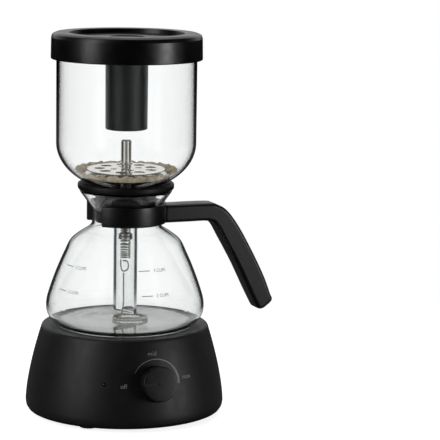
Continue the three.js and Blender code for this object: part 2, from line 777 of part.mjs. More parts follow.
function cloth() {
  const low = clothZ;
  const discTop = lowerDiscZ + filterSheet;
  const outline = [
    [boreOfStud, low], [filterLowerRadius + 0.8, low], [filterLowerRadius + 3, low + 1.6],
    [filterLowerRadius + 4.4, discTop + 0.6], [clothRadius, clothTop],
  ];
  return turned([...outline, ...offset(outline, clothThickness).reverse()]);
}

const holeMargin = 9.8; // from a disc's edge to the centres of its outer holes
const spacerBottom = lowerDiscZ + filterSheet + gap;

// Holes in two rings, the inner one halfway to the outer.
function discHoles(radius, outerCount, outerHole, innerCount) {
  const centre = radius - holeMargin;
  return [[outerCount, centre, outerHole], [innerCount, centre / 2, 2.6]];
}

const upperDisc = perforatedDisc(filterDiscRadius, discZ, discHoles(filterDiscRadius, 9, 4.3, 4));
const lowerDisc = perforatedDisc(filterLowerRadius, lowerDiscZ, discHoles(filterLowerRadius, 10, 4.2, 5));
const nut = cut(hexagon(nutRadius, nutZ, nutZ + nutHeight), [rod(boreOfStud, nutZ - 1, nutZ + 4)]);
add(filter, 'filter_post', filterPost(), stainless);
add(filter, 'filter_disc', upperDisc, stainless);
add(filter, 'filter_spacer', ring(boreOfStud, 6, spacerBottom, discZ - gap, smallFacets), stainless);
add(filter, 'filter_lower_disc', lowerDisc, stainless);
add(filter, 'filter_cloth', cloth(), cotton);
add(filter, 'filter_nut', nut, stainless);

// ---- Spring, hook, pull wire and ball chain ----

const hookTop = springBottom - gap;
const chainZ = carafeBottom + carafeFloor + gap + chainBall;
const chainCentre = [3.5, -2];

function hook() {
  const side = springRadius - wireRadius;
  return bar([
    [-side, 0, hookTop], [-side, 0, hookTop - hookLength * 0.6], [-side * 0.55, 0, hookTop - hookLength],
    [side * 0.45, 0, hookTop - hookLength * 0.9], [side * 0.7, 0, hookTop - hookLength * 0.5],
  ], wireRadius, 16, 6);
}

function chain() {
  const [x, y] = chainCentre;
  const links = 16;
  const around = Array.from({ length: links + 1 }, (_, i) => {
    const [dx, dy] = polar(chainRadius, 180 + (i * 345) / links);
    return [x + dx, y + dy, chainZ];
  });
  return bar(around, chainBall, 30, 6);
}

const wireEnd = chainZ + chainBall + wireRadius + gap;
const collarBottom = springBottom + 15.5;
const collarHeight = 3;
const coil = ring(springRadius - springWire, springRadius, springBottom, springTop, smallFacets);
const springCollar = ring(springRadius + gap, springRadius + 1.3, collarBottom,
  collarBottom + collarHeight, smallFacets);
add(filter, 'filter_spring', coil, stainless);
add(filter, 'spring_collar', springCollar, stainless);
add(filter, 'filter_hook', hook(), stainless);
add(filter, 'pull_wire', bar([
  [-1.4, 0, hookTop - hookLength - wireRadius - 1], [-1.4, 0, stemEnd + 8], [-4, -1, stemEnd - 1],
  [chainCentre[0] - chainRadius, chainCentre[1], wireEnd],
], wireRadius, 20, 6), stainless);
add(filter, 'ball_chain', chain(), stainless);

const coffeeMaker = new THREE.Group();
coffeeMaker.add(base, carafe, bowl, filter, lid);

export default coffeeMaker;
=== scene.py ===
# %% [markdown]
# # A siphon coffee maker
#
# An electric siphon brewer has a heating base, a glass carafe, a bowl whose stem reaches down into
# the water, a cloth filter pulled down by a spring, and a lid. Heat drives the water up the stem
# into the grounds, and when the heat goes off the coffee is sucked back down through the cloth.
#
# The mechanical model says where each part is and how it moves. This notebook gives every part its
# real skin: turned profiles with rounded edges, blown glass, wound wire, woven cotton and print.
# Lengths are written in millimetres, as a drawing would, and become metres when a mesh is made.

import json
import math
import random

import bmesh
import bpy
from mathutils import Matrix, Vector


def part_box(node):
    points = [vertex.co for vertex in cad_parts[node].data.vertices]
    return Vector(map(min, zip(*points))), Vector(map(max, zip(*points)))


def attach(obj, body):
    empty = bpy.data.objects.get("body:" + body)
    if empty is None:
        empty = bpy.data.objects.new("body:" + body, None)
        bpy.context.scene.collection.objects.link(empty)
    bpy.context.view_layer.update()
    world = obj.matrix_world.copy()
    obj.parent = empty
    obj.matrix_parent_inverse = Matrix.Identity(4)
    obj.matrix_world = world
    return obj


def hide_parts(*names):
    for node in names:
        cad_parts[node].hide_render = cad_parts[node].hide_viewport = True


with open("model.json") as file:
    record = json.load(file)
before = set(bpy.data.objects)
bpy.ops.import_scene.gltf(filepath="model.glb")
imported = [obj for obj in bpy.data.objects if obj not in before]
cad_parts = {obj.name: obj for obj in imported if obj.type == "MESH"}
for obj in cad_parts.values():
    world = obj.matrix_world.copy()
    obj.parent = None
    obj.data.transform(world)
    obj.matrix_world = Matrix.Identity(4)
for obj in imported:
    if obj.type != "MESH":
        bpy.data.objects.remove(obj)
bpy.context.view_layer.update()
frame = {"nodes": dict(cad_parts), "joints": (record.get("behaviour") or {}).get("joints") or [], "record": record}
scene = bpy.context.scene
rng = random.Random(11)
MM = 0.001


# %% Read sizes from the frame
def span(node):
    """Lowest and highest corner of a node, in millimetres."""
    low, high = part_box(node)
    return low / MM, high / MM


_, base_high = span("base_housing")
plate_low, plate_high = span("heater_plate")
carafe_low, carafe_high = span("carafe_glass")
bowl_low, bowl_high = span("upper_bowl_glass")
gasket_low, gasket_high = span("bowl_gasket")
cap_low, cap_high = span("lid_cap")
tube_low, tube_high = span("lid_tube")
_, disc_high = span("filter_disc")
print("base", tuple(base_high), "carafe", tuple(carafe_high), "bowl", tuple(bowl_high))

# %% [markdown]
# ## Outlines
#
# Nearly every part of a brewer is a body of revolution: glass is blown in a turning mould, and the
# mouldings round it follow. So the basic tool is an outline of (radius, height) corners, each with
# the small rounding that its process leaves, turned about the upright axis. A fire-polished glass
# rim gets about half its wall, a moulded plastic edge 0.5 to 2 mm, a stamped edge a tenth.


# %% Rounded corners
def rounded(corners, steps=5, loop=True):
    """An outline with each (r, z, rounding) corner replaced by a short curve."""
    points = []
    count = len(corners)
    for i, (r, z, size) in enumerate(corners):
        here = Vector((r, z))
        ends = not loop and i in (0, count - 1)
        if size <= 0 or ends:
            points.append((r, z))
            continue
        before = Vector(corners[i - 1][:2]) - here
        after = Vector(corners[(i + 1) % count][:2]) - here
        turn = before.angle(after)
        reach = min(size / math.tan(turn / 2), 0.49 * before.length, 0.49 * after.length)
        a = here + before.normalized() * reach
        b = here + after.normalized() * reach
        for s in range(steps + 1):
            t = s / steps
            p = a * (1 - t) ** 2 + here * (2 * t * (1 - t)) + b * t**2
            points.append((p.x, p.y))
    return points


# %% Smooth curves and offsets
def spline(points, per=6):
    """A smooth curve through the points, by Catmull-Rom."""
    ends = [points[0], *points, points[-1]]
    curve = []
    for a, b, c, d in zip(ends, ends[1:], ends[2:], ends[3:]):
        for s in range(per):
            t = s / per
            curve.append(
                tuple(
                    0.5 * (2 * q + (r - p) * t + (2 * p - 5 * q + 4 * r - s3) * t**2 + (3 * q - p - 3 * r + s3) * t**3)
                    for p, q, r, s3 in zip(a, b, c, d)
                )
            )
    return [*curve, points[-1]]


def bend(r, z, radius, start, end, steps=10):
    """An arc of (r, z) points, angles in degrees."""
    angles = [math.radians(start + (end - start) * i / steps) for i in range(steps + 1)]
    return [(r + radius * math.cos(a), z + radius * math.sin(a)) for a in angles]


def offset(points, distance):
    """The outline moved to its left by a distance."""
    moved = []
    for i, (r, z) in enumerate(points):
        r0, z0 = points[max(i - 1, 0)]
        r1, z1 = points[min(i + 1, len(points) - 1)]
        length = math.hypot(r1 - r0, z1 - z0)
        moved.append((r - distance * (z1 - z0) / length, z + distance * (r1 - r0) / length))
    return moved


def radius_at(points, z):
    """Radius of a rising outline at a height."""
    for (r0, z0), (r1, z1) in zip(points, points[1:]):
        if z0 <= z <= z1 and z1 > z0:
            return r0 + (r1 - r0) * (z - z0) / (z1 - z0)
    return points[-1][0]


# %% [markdown]
# ## From outlines to meshes
#
# Three ways of making a shape do for the whole brewer: an outline turned about the axis, a round
# section carried along a line for wire, and loops pushed through a thickness for stamped sheet and
# for the handle. Each gives plain lists of vertices and faces, so shapes can be moved and joined
# before they become an object.


# %% Turned shapes
def turned(points, steps=144, start=0.0, sweep=360.0):
    """Vertices and faces of an outline turned about Z, all round or through part of a turn."""
    whole = sweep >= 360
    count = steps if whole else steps + 1
    angles = [math.radians(start + sweep * i / steps) for i in range(count)]
    verts, rows = [], []
    for r, z in points:
        if r < 1e-6:
            rows.append([len(verts)])
            verts.append((0, 0, z))
        else:
            rows.append(list(range(len(verts), len(verts) + count)))
            verts += [(r * math.cos(a), r * math.sin(a), z) for a in angles]
    pairs = list(zip(rows, rows[1:]))
    if points[0][0] > 1e-6 or points[-1][0] > 1e-6:
        pairs.append((rows[-1], rows[0]))
    faces = []
    for low, high in pairs:
        for i in range(steps):
            j = (i + 1) % count
            quad = [low[i % len(low)], low[j % len(low)], high[j % len(high)], high[i % len(high)]]
            face = list(dict.fromkeys(quad))
            if len(face) > 2:
                faces.append(face)
    if not whole:
        faces += [[row[0] for row in rows], [row[-1] for row in reversed(rows)]]
    return verts, faces


# %% Wire
def swept(points, radius, sides=10, closed=False):
    """A round wire along a line of points, its section carried without twist."""
    line = [Vector(p) for p in points]
    count = len(line)
    up = Vector((0, 0, 1)) if abs((line[1] - line[0]).normalized().z) < 0.9 else Vector((1, 0, 0))
    verts, faces = [], []
    for i, p in enumerate(line):
        ahead = line[(i + 1) % count] if closed else line[min(i + 1, count - 1)]
        behind = line[i - 1] if closed else line[max(i - 1, 0)]
        along = (ahead - behind).normalized()
        up = (up - along * up.dot(along)).normalized()
        side = along.cross(up)
        for k in range(sides):
            a = math.tau * k / sides
            verts.append(p + (up * math.cos(a) + side * math.sin(a)) * radius)
    for i in range(count if closed else count - 1):
        j = (i + 1) % count
        for k in range(sides):
            m = (k + 1) % sides
            faces.append([i * sides + k, i * sides + m, j * sides + m, j * sides + k])
    if not closed:
        faces += [list(range(sides)), [(count - 1) * sides + k for k in reversed(range(sides))]]
    return verts, faces


# %% [markdown]
# ### Pieces
#
# A piece is one mesh object that rides on the body it belongs to. It names and hides the plain
# parts of the mechanical model it stands for.


# %% Making a piece
def clean_mesh(name, shape):
    """A mesh in metres from a shape in millimetres, its faces turned outwards."""
    verts, faces = shape
    mesh = bpy.data.meshes.new(name)
    mesh.from_pydata([Vector(v) * MM for v in verts], [], faces)
    work = bmesh.new()
    work.from_mesh(mesh)
    bmesh.ops.recalc_face_normals(work, faces=work.faces)
    work.to_mesh(mesh)
    work.free()
    return mesh


def piece(name, shape, material, body, nodes=(), crease=38):
    """A finished mesh piece on its CAD body, standing for the nodes it replaces."""
    mesh = clean_mesh(name, shape)
    mesh.shade_smooth()
    mesh.set_sharp_from_angle(angle=math.radians(crease))
    mesh.materials.append(material)
    obj = bpy.data.objects.new(name, mesh)
    scene.collection.objects.link(obj)
    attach(obj, body)
    if nodes:
        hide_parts(*nodes)
    print(f"{name}: {len(mesh.polygons)} faces, {[round(d / MM, 1) for d in obj.dimensions]} mm")
    return obj


# %% Joining, moving and cutting
def merged(shapes):
    """Several shapes as one."""
    verts, faces = [], []
    for more, quads in shapes:
        faces += [[i + len(verts) for i in face] for face in quads]
        verts += [Vector(v) for v in more]
    return verts, faces


def moved(shape, matrix):
    """A shape moved by a matrix whose lengths are in millimetres."""
    return [matrix @ Vector(v) for v in shape[0]], shape[1]


def evaluated(obj):
    """An object's mesh as its modifiers or its curve make it."""
    bpy.context.view_layer.update()
    return bpy.data.meshes.new_from_object(obj.evaluated_get(bpy.context.evaluated_depsgraph_get()))


def cut_away(obj, cutters):
    """Takes solids away from a piece, and applies the cut."""
    for shape in cutters:
        tool = bpy.data.objects.new("cutter", clean_mesh("cutter", shape))
        scene.collection.objects.link(tool)
        boolean = obj.modifiers.new("cut", "BOOLEAN")
        boolean.object = tool
        boolean.solver = "EXACT"
        whole = evaluated(obj)
        obj.modifiers.clear()
        obj.data = whole
        bpy.data.objects.remove(tool)
    obj.data.set_sharp_from_angle(angle=math.radians(38))


# %% Filled curves
def filled(curve):
    """Vertices and faces of a filled curve or text."""
    holder = bpy.data.objects.new(curve.name, curve)
    scene.collection.objects.link(holder)
    flat = evaluated(holder)
    bpy.data.objects.remove(holder)
    return [v.co.copy() for v in flat.vertices], [list(p.vertices) for p in flat.polygons]


def slab(name, loops, thick, edge, resolution, inset=0.0):
    """Closed loops of (x, y) pushed through a thickness, with rounded edges. Inner loops are holes."""
    outline = bpy.data.curves.new(name, "CURVE")
    outline.dimensions = "2D"
    outline.fill_mode = "BOTH"
    outline.extrude = (thick / 2 - edge) * MM
    outline.bevel_depth = edge * MM
    outline.bevel_resolution = resolution
    outline.offset = -inset * MM
    for loop in loops:
        path = outline.splines.new("POLY")
        path.points.add(len(loop) - 1)
        for point, (x, y) in zip(path.points, loop):
            point.co = (x * MM, y * MM, 0, 1)
        path.use_cyclic_u = True
    verts, faces = filled(outline)
    return [co / MM for co in verts], faces


# %% [markdown]
# ## Materials
#
# Each material is named after what the part is really made of and how its surface was left. The
# colours are the ones a paint chart would give, turned into light values by one function, and the
# pattern sizes are given in millimetres: spark-eroded mould texture has grains of about 0.2 mm, and
# filter cotton about two threads to the millimetre. Patterns too fine to show are drawn coarser.


# %% Material tools
def paint(code):
    """A hex colour as linear light, with full alpha."""
    parts = [int(code[i : i + 2], 16) / 255 for i in (1, 3, 5)]
    return (*(p / 12.92 if p <= 0.04045 else ((p + 0.055) / 1.055) ** 2.4 for p in parts), 1.0)


def node(tree, kind, inputs=None, **settings):
    """One shader node with its settings, its constants and its links."""
    made = tree.nodes.new(kind)
    for key, value in settings.items():
        setattr(made, key, value)
    for key, value in (inputs or {}).items():
        if isinstance(value, bpy.types.NodeSocket):
            tree.links.new(value, made.inputs[key])
        else:
            made.inputs[key].default_value = value
    return made


def material(name, constants):
    """A material with one Principled shader, and its tree and shader."""
    made = bpy.data.materials.new(name)
    made.use_nodes = True
    tree = made.node_tree
    tree.nodes.clear()
    shader = node(tree, "ShaderNodeBsdfPrincipled", constants)
    node(tree, "ShaderNodeOutputMaterial", {"Surface": shader.outputs[0]})
    return made, tree, shader


def grain(tree, size_mm, low, high, detail=3.0):
    """Noise with features of a size, spread over a range of values."""
    place = node(tree, "ShaderNodeTexCoord").outputs["Object"]
    noise = node(tree, "ShaderNodeTexNoise", {"Vector": place, "Scale": 1000 / size_mm, "Detail": detail})
    spread = {"Value": noise.outputs[0], "From Min": 0.3, "From Max": 0.7, "To Min": low, "To Max": high}
    return node(tree, "ShaderNodeMapRange", spread).outputs[0]


def plastic(name, code, rough, vary, texture_mm, depth_mm, ior=1.5):
    """A moulding: mottled gloss over a fine mould texture."""
    made, tree, shader = material(name, {"Base Color": paint(code), "Roughness": rough, "IOR": ior})
    tree.links.new(grain(tree, 9.0, rough - vary, rough + vary), shader.inputs["Roughness"])
    texture = grain(tree, texture_mm, 0.0, 1.0, 2.0)
    bump = node(tree, "ShaderNodeBump", {"Height": texture, "Distance": depth_mm * MM, "Strength": 1.0})
    tree.links.new(bump.outputs[0], shader.inputs["Normal"])
    return made


def metal(name, code, rough, vary):
    """A metal with gloss that varies a little, as wiping and heat leave it."""
    made, tree, shader = material(name, {"Base Color": paint(code), "Roughness": rough, "Metallic": 1.0})
    tree.links.new(grain(tree, 6.0, rough - vary, rough + vary), shader.inputs["Roughness"])
    return made, tree, shader


# %% Mouldings and rubber
# PBT from a spark-eroded mould scatters light: a deep black with wide, soft highlights. Its real
# grain of 0.2 mm is drawn at 0.3 mm, the finest that shows.
housing_black = plastic("black PBT, spark-eroded mould", "#0d0d0e", 0.5, 0.04, 0.3, 0.012)
# A satin mould leaves the lid smoother, so its edges catch a clearer line of light.
satin_black = plastic("black PP, satin mould", "#080809", 0.33, 0.04, 0.5, 0.004)
# Nylon looks a little milkier than PP and its highlight along the bar is wider.
handle_black = plastic("black nylon, fine satin mould", "#0c0c0d", 0.38, 0.05, 0.4, 0.006)
# ABS takes the mould's polish well, so the knob's face shows a faint sheen.
knob_black = plastic("black ABS, fine satin mould", "#0a0a0b", 0.36, 0.04, 0.3, 0.005)
# Silicone rubber is dull and dark, with a highlight that only just shows.
black_rubber = plastic("black silicone rubber, moulded", "#080808", 0.5, 0.05, 0.6, 0.01, 1.41)
# Pressed phenolic is a warm, very dark brown rather than black.
dark_resin = plastic("dark phenolic resin, pressed", "#2b2724", 0.5, 0.05, 0.4, 0.01, 1.6)
# Fired steatite is unglazed: cream, and as dull as chalk.
white_ceramic = plastic("white steatite, fired", "#e4dfd3", 0.6, 0.05, 0.2, 0.02, 1.6)
# Grey silicone is a mid grey with a soft, greasy dullness.
grey_silicone = plastic("grey silicone, moulded", "#6d6a66", 0.6, 0.05, 0.5, 0.01, 1.41)
# Woven glass fibre is a pale grey that never shines, with a coarse grain.
sleeve = plastic("glass-fibre sleeve, woven", "#9b9a95", 0.75, 0.05, 0.7, 0.08)
# Screen ink is opaque and a little duller than the moulding under it.
print_ink = plastic("light grey screen-print ink, cured", "#8f8e8a", 0.55, 0.03, 0.2, 0.002)
# A fired decal is a thin mid grey that reads dark against bright glass.
glass_ink = plastic("grey ceramic decal, fired on glass", "#77787a", 0.5, 0.03, 0.2, 0.002)
print("mouldings, rubbers and inks:", len(bpy.data.materials))

# %% Metals
# Polished stainless mirrors the studio: bright bands between nearly black ones.
stainless, _, _ = metal("stainless steel, polished", "#d6d2cd", 0.09, 0.03)
# Drawn wire is bright too, but the die leaves it less sharp.
spring_steel, _, _ = metal("stainless spring wire, drawn bright", "#bdb9b4", 0.2, 0.04)
# Zinc plating is a bluish, cloudy grey.
zinc_steel, _, _ = metal("steel, zinc plated", "#a9abad", 0.35, 0.06)
# A plate turned on a lathe is bright and pale, with rings about its middle. The Wave node repeats
# every tau / 20 of its coordinate. Real feed marks are far too fine to show, so what is drawn is a
# soft ripple every 5.655 mm.
WAVE_PERIOD = math.tau / 20
RIPPLE_MM = 5.655
plate_metal, tree, shader = metal("aluminium, turned and polished", "#d2d1cf", 0.17, 0.04)
place = node(tree, "ShaderNodeTexCoord").outputs["Object"]
turning = node(
    tree,
    "ShaderNodeTexWave",
    {"Vector": place, "Scale": 1000 * WAVE_PERIOD / RIPPLE_MM, "Distortion": 0.3},
    wave_type="RINGS",
    rings_direction="Z",
)
bump = node(tree, "ShaderNodeBump", {"Height": turning.outputs[1], "Distance": 0.0015 * MM, "Strength": 1.0})
tree.links.new(bump.outputs[0], shader.inputs["Normal"])
print("plate ripple:", RIPPLE_MM, "mm")

# %% [markdown]
# ### Glass
#
# Borosilicate glass refracts at 1.47 and is clear through the wall, but the rim and the silhouette,
# where light crosses centimetres of it, look darker and faintly green. That is absorption inside
# the glass, so it is a volume and not a surface colour. Lamps shine through the walls without
# being bent, which lights the parts inside as a thin wall does.

# %% Glass
# Blown glass is never quite flat: a swell every 42 mm, a few hundredths deep, bends what is behind.
borosilicate, tree, shader = material(
    "borosilicate glass, blown",
    {"Base Color": paint("#fdfefe"), "Roughness": 0.0, "IOR": 1.473, "Transmission Weight": 1.0},
)
waviness = grain(tree, 42.0, 0.0, 1.0, 1.0)
bump = node(tree, "ShaderNodeBump", {"Height": waviness, "Distance": 0.03 * MM, "Strength": 1.0})
tree.links.new(bump.outputs[0], shader.inputs["Normal"])
output = next(n for n in tree.nodes if n.type == "OUTPUT_MATERIAL")
shadow = node(tree, "ShaderNodeLightPath").outputs["Is Shadow Ray"]
through = node(tree, "ShaderNodeBsdfTransparent", {"Color": paint("#f4f7f6")})
either_way = node(tree, "ShaderNodeMixShader", {0: shadow, 1: shader.outputs[0], 2: through.outputs[0]})
tree.links.new(either_way.outputs[0], output.inputs["Surface"])
absorb = node(tree, "ShaderNodeVolumeAbsorption", {"Color": paint("#b3bcb6"), "Density": 30.0})
tree.links.new(absorb.outputs[0], output.inputs["Volume"])

print("glass: wall tint", tuple(round(c, 2) for c in paint("#b3bcb6")[:3]), "as linear light")

# %% [markdown]
# ### Lens and cotton
#
# The pilot lens is clear polycarbonate dyed so dark that it looks nearly black until it is lit. The
# filter cloth is cotton that has brewed many times: fuzzy threads, which is what sheen draws, and
# brown stains that a noise spreads unevenly between two colours.

# %% Lens and cotton
lens_red, _, _ = material(
    "dark red polycarbonate, moulded clear",
    {"Base Color": paint("#3a0d0a"), "Roughness": 0.12, "IOR": 1.58, "Transmission Weight": 0.3},
)

# The threads lie about 0.5 mm apart on real cloth. That is too fine to show, so the weave is drawn
# with a thread every 3.456 mm.
THREAD_MM = 3.456
cotton, tree, shader = material(
    "cotton filter cloth, coffee-stained",
    {"Roughness": 0.92, "Sheen Weight": 0.25, "Sheen Roughness": 0.5, "IOR": 1.5},
)
place = node(tree, "ShaderNodeTexCoord").outputs["Object"]
threads = 1000 * WAVE_PERIOD / THREAD_MM
warp = node(tree, "ShaderNodeTexWave", {"Vector": place, "Scale": threads, "Distortion": 0.8}, bands_direction="X")
weft = node(tree, "ShaderNodeTexWave", {"Vector": place, "Scale": threads, "Distortion": 0.8}, bands_direction="Y")
weave = node(tree, "ShaderNodeMath", {0: warp.outputs[1], 1: weft.outputs[1]}, operation="MAXIMUM")
bump = node(tree, "ShaderNodeBump", {"Height": weave.outputs[0], "Distance": 0.12 * MM, "Strength": 1.0})
tree.links.new(bump.outputs[0], shader.inputs["Normal"])
stains = node(
    tree,
    "ShaderNodeMix",
    {0: grain(tree, 11.0, 0.0, 1.0, 4.0), 6: paint("#ddd2ba"), 7: paint("#a98b5f")},
    data_type="RGBA",
)
tree.links.new(stains.outputs[2], shader.inputs["Base Color"])
print("materials:", len(bpy.data.materials))

# %% [markdown]
# ### Parts that keep their plain shape
#
# Screws, leads, the switch and the other parts inside are seen only through a gap, so the shapes of
# the mechanical model do for them. They get the finish that their slot stands for.

# %% Finishes by slot
of_slot = {
    "black_plastic": housing_black,
    "dark_resin": dark_resin,
    "black_rubber": black_rubber,
    "borosilicate_glass": borosilicate,
    "lens": lens_red,
    "heater_aluminium": plate_metal,
    "stainless": stainless,
    "zinc_steel": zinc_steel,
    "ceramic": white_ceramic,
    "silicone": grey_silicone,
    "cotton": cotton,
    "wire_cover": sleeve,
}
for row in frame["record"]["subparts"]:
    mesh = frame["nodes"][row["node"]].data
    mesh.materials.clear()
    mesh.materials.append(of_slot[row["material_slot"]])
print("finishes by slot:", len(of_slot))

# %% [markdown]
# ## The heating base
#
# The housing is one injection moulding, its wall curving in towards the top and its shoulder
# rounded over into a flat ring. The wall's curve is a power curve, steeper near the top. Holes for
# the switch bush, the pilot lamp and the cord go square through the wall.

# %% Housing
HOUSING_WALL = 2.4
WIDEST_Z = 5.5
BULGE = 1.52
wide = base_high.x
base_top = base_high.z
opening = plate_high.x + 0.9
shoulder = plate_high.x + 13.2
seat_z = span("plate_seal_ring")[0].z - 0.3


def wall_radius(z):
    """Outer radius of the housing at a height."""
    share = max(z - WIDEST_Z, 0) / (base_top - WIDEST_Z)
    return wide - (wide - shoulder) * share**BULGE


levels = [WIDEST_Z + (base_top - 4 - WIDEST_Z) * i / 26 for i in range(27)]
under = base_top - HOUSING_WALL
housing_outline = rounded(
    [
        (wide - 2.1, 0, 0.6),
        (wide - 0.5, 2.4, 3),
        *((wall_radius(z), z, 0) for z in levels),
        (shoulder, base_top, 2.6),
        (opening, base_top, 0.7),
        (opening, seat_z, 0.3),
        (opening - 5.9, seat_z, 0.3),
        (opening - 5.9, seat_z - HOUSING_WALL, 0.3),
        (opening + HOUSING_WALL, seat_z - HOUSING_WALL, 0),
        (opening + HOUSING_WALL, under, 0),
        *((wall_radius(z) - HOUSING_WALL, min(z, under), 0) for z in reversed(levels)),
        (wide - 2.1 - HOUSING_WALL, 0, 0.4),
    ]
)
housing = piece("base_housing_shell", turned(housing_outline, 192), housing_black, "base", ["base_housing"])

# %% [markdown]
# ### Places on the wall
#
# The knob's axis stands square to the wall, so the knob leans back with it. Its place is taken from
# the knob's own joint. Print is laid on the wall by walking up it and round it, as a pad or screen
# print wraps, so letters keep their size and stay on the surface.

# %% Dial place and holes
knob_joint = next(j for j in frame["joints"] if j["name"] == "knob_turn")
dial_origin = Vector(knob_joint["pos_m"]) / MM
dial_out = -Vector(knob_joint["axis"]).normalized()
dial_across = Vector((1, 0, 0))
dial_up = dial_out.cross(dial_across)
dial_place = Matrix.Translation(dial_origin) @ Matrix((dial_across, dial_up, dial_out)).transposed().to_4x4()
LAMP_ANGLE = 31.5
lamp_turn = Matrix.Rotation(math.radians(-LAMP_ANGLE), 4, "Z")
lamp_place = lamp_turn @ dial_place
inlet_low, inlet_high = span("cord_inlet")
inlet_z = (inlet_low.z + inlet_high.z) / 2
inlet_tilt = math.atan(wall_radius(inlet_z - 0.5) - wall_radius(inlet_z + 0.5))
inlet_place = (
    Matrix.Translation((0, wall_radius(inlet_z), inlet_z))
    @ Matrix.Rotation(math.radians(180), 4, "Z")
    @ Matrix.Rotation(math.radians(90) - inlet_tilt, 4, "X")
)
LAMP_HOLE = 1.5
INLET_HOLE = 7.2
BUSH_HOLE = 4.9


def drill(radius, placed):
    """A drill of a radius, across the wall at a place."""
    return moved(turned([(0, -8), (radius, -8), (radius, 4), (0, 4)], 48), placed)


cut_away(housing, [drill(BUSH_HOLE, dial_place), drill(LAMP_HOLE, lamp_place), drill(INLET_HOLE, inlet_place)])
print("dial at", tuple(round(c, 1) for c in dial_origin), "housing faces", len(housing.data.polygons))

# %% [markdown]
# ### Pilot lens and feet
#
# The lens is a peg pushed through the wall from inside, a little below its surface. Each foot is a
# rubber button whose barbed stalk snaps into the bottom cover.

# %% Pilot lens and feet
lens_profile = [(0, -4.4), (2.8, -4.4), (2.8, -3.4), (1.1, -3.4), (1.1, -0.9), (0.8, -0.6), (0, -0.5)]
piece("pilot_lens", moved(turned(lens_profile, 32), lamp_place), lens_red, "base", ["indicator_lens"])
for corner in ("front_left", "front_right", "back_right", "back_left"):
    low, high = span(f"foot_{corner}")
    radius = (high.x - low.x) / 2
    outline = rounded(
        [(0, low.z, 0), (radius, low.z, 0.9), (radius, -0.3, 0.3), (2.5, -0.3, 0), (2.5, 3.3, 0)]
        + [(3.5, 3.3, 0.3), (2.5, high.z, 0.6), (0, high.z, 0)],
        loop=False,
    )
    at = Matrix.Translation(((low.x + high.x) / 2, (low.y + high.y) / 2, 0))
    piece(f"rubber_{corner}", moved(turned(outline, 48), at), black_rubber, "base", [f"foot_{corner}"])

# %% [markdown]
# ### Knob
#
# The knob is a shallow cup with a slightly tapering side, a small rounding at its face and a milled
# pointer groove from the rim to the middle. The face is made as a turned solid and the groove is
# cut out of it, as the mould's steel would leave it.

# %% Knob
KNOB_RADIUS = 14.0
KNOB_FACE = 8.4
knob_outline = rounded(
    [
        (0, 6.8, 0),
        (3.3, 6.8, 0),
        (3.3, 2.7, 0.2),
        (6.2, 2.7, 0.2),
        (6.2, 6.8, 0),
        (KNOB_RADIUS - 2, 6.8, 0),
        (KNOB_RADIUS - 1.9, 0.9, 0.2),
        (KNOB_RADIUS, 0.9, 0.4),
        (KNOB_RADIUS - 0.7, KNOB_FACE, 0.9),
        (0, KNOB_FACE, 0),
    ],
    loop=False,
)
knob_piece = piece("control_knob", moved(turned(knob_outline, 128), dial_place), knob_black, "dial", ["knob"])
GROOVE = 1.0
block = [
    (x, y, z)
    for x in (-KNOB_RADIUS - 1, -1.2)
    for y in (-GROOVE / 2, GROOVE / 2)
    for z in (KNOB_FACE - 0.8, KNOB_FACE + 2)
]
sides = [[0, 1, 3, 2], [4, 6, 7, 5], [0, 4, 5, 1], [2, 3, 7, 6], [0, 2, 6, 4], [1, 5, 7, 3]]
cut_away(knob_piece, [moved((block, sides), dial_place)])

# %% [markdown]
# ### Dial print
#
# A swelling arc round the knob shows the heat rising from thin to thick, with three plain words.
# The ink stands a few hundredths of a millimetre proud of the wall.

# %% Dial arc and words
INK = 0.06


def on_wall(across, up):
    """A print's flat point wrapped on the housing, measured from the dial's centre."""
    z = dial_origin.z + up * dial_up.z
    r = wall_radius(z) + INK
    angle = across / wall_radius(z)
    return Vector((r * math.sin(angle), -r * math.cos(angle), z))


def words(text, size, across, up, wrap):
    """Flat letters wrapped on a surface, centred at a place."""
    curve = bpy.data.curves.new(text, "FONT")
    curve.body = text
    curve.size = size
    curve.align_x = "CENTER"
    verts, faces = filled(curve)
    return [wrap(across + co.x, up + co.y) for co in verts], faces


ARC_RADIUS = 18.7
ARC_STEPS = 90
arc_verts, arc_faces = [], []
for i in range(ARC_STEPS + 1):
    share = i / ARC_STEPS
    angle = math.radians(152 - 155 * share)
    half = 0.12 + 0.85 * share**1.6
    for r in (ARC_RADIUS - half, ARC_RADIUS, ARC_RADIUS + half):
        arc_verts.append(on_wall(r * math.cos(angle), r * math.sin(angle)))
    if i:
        a = 3 * i
        arc_faces += [[a - 3, a - 2, a + 1, a], [a - 2, a - 1, a + 2, a + 1]]
dial_print = [
    (arc_verts, arc_faces),
    words("off", 4.8, -25.6, -2.6, on_wall),
    words("mid", 4.8, -2.0, 21.4, on_wall),
    words("max", 4.8, 26.4, 1.6, on_wall),
]
piece("dial_print", merged(dial_print), print_ink, "base")

# %% [markdown]
# ## The heater plate
#
# The plate is cast aluminium, turned and polished on top, with a shallow recess so that only its
# outer ring touches the carafe's edge. Fine turning marks run round it.

# %% Plate
PLATE_SINK = 2.2
RECESS = 38.5
rim = plate_high.z - 2.6
plate_outline = rounded(
    [
        (0, plate_low.z, 0),
        (opening - 7.9, plate_low.z, 0.4),
        (opening - 7.9, rim, 0),
        (plate_high.x, rim, 0.4),
        (plate_high.x, plate_high.z, 0.8),
        (RECESS + 1.2, plate_high.z, 0.6),
        (RECESS, plate_high.z - PLATE_SINK, 1.2),
        (0, plate_high.z - PLATE_SINK, 0),
    ],
    loop=False,
)
piece("polished_plate", turned(plate_outline, 160), plate_metal, "base", ["heater_plate"])

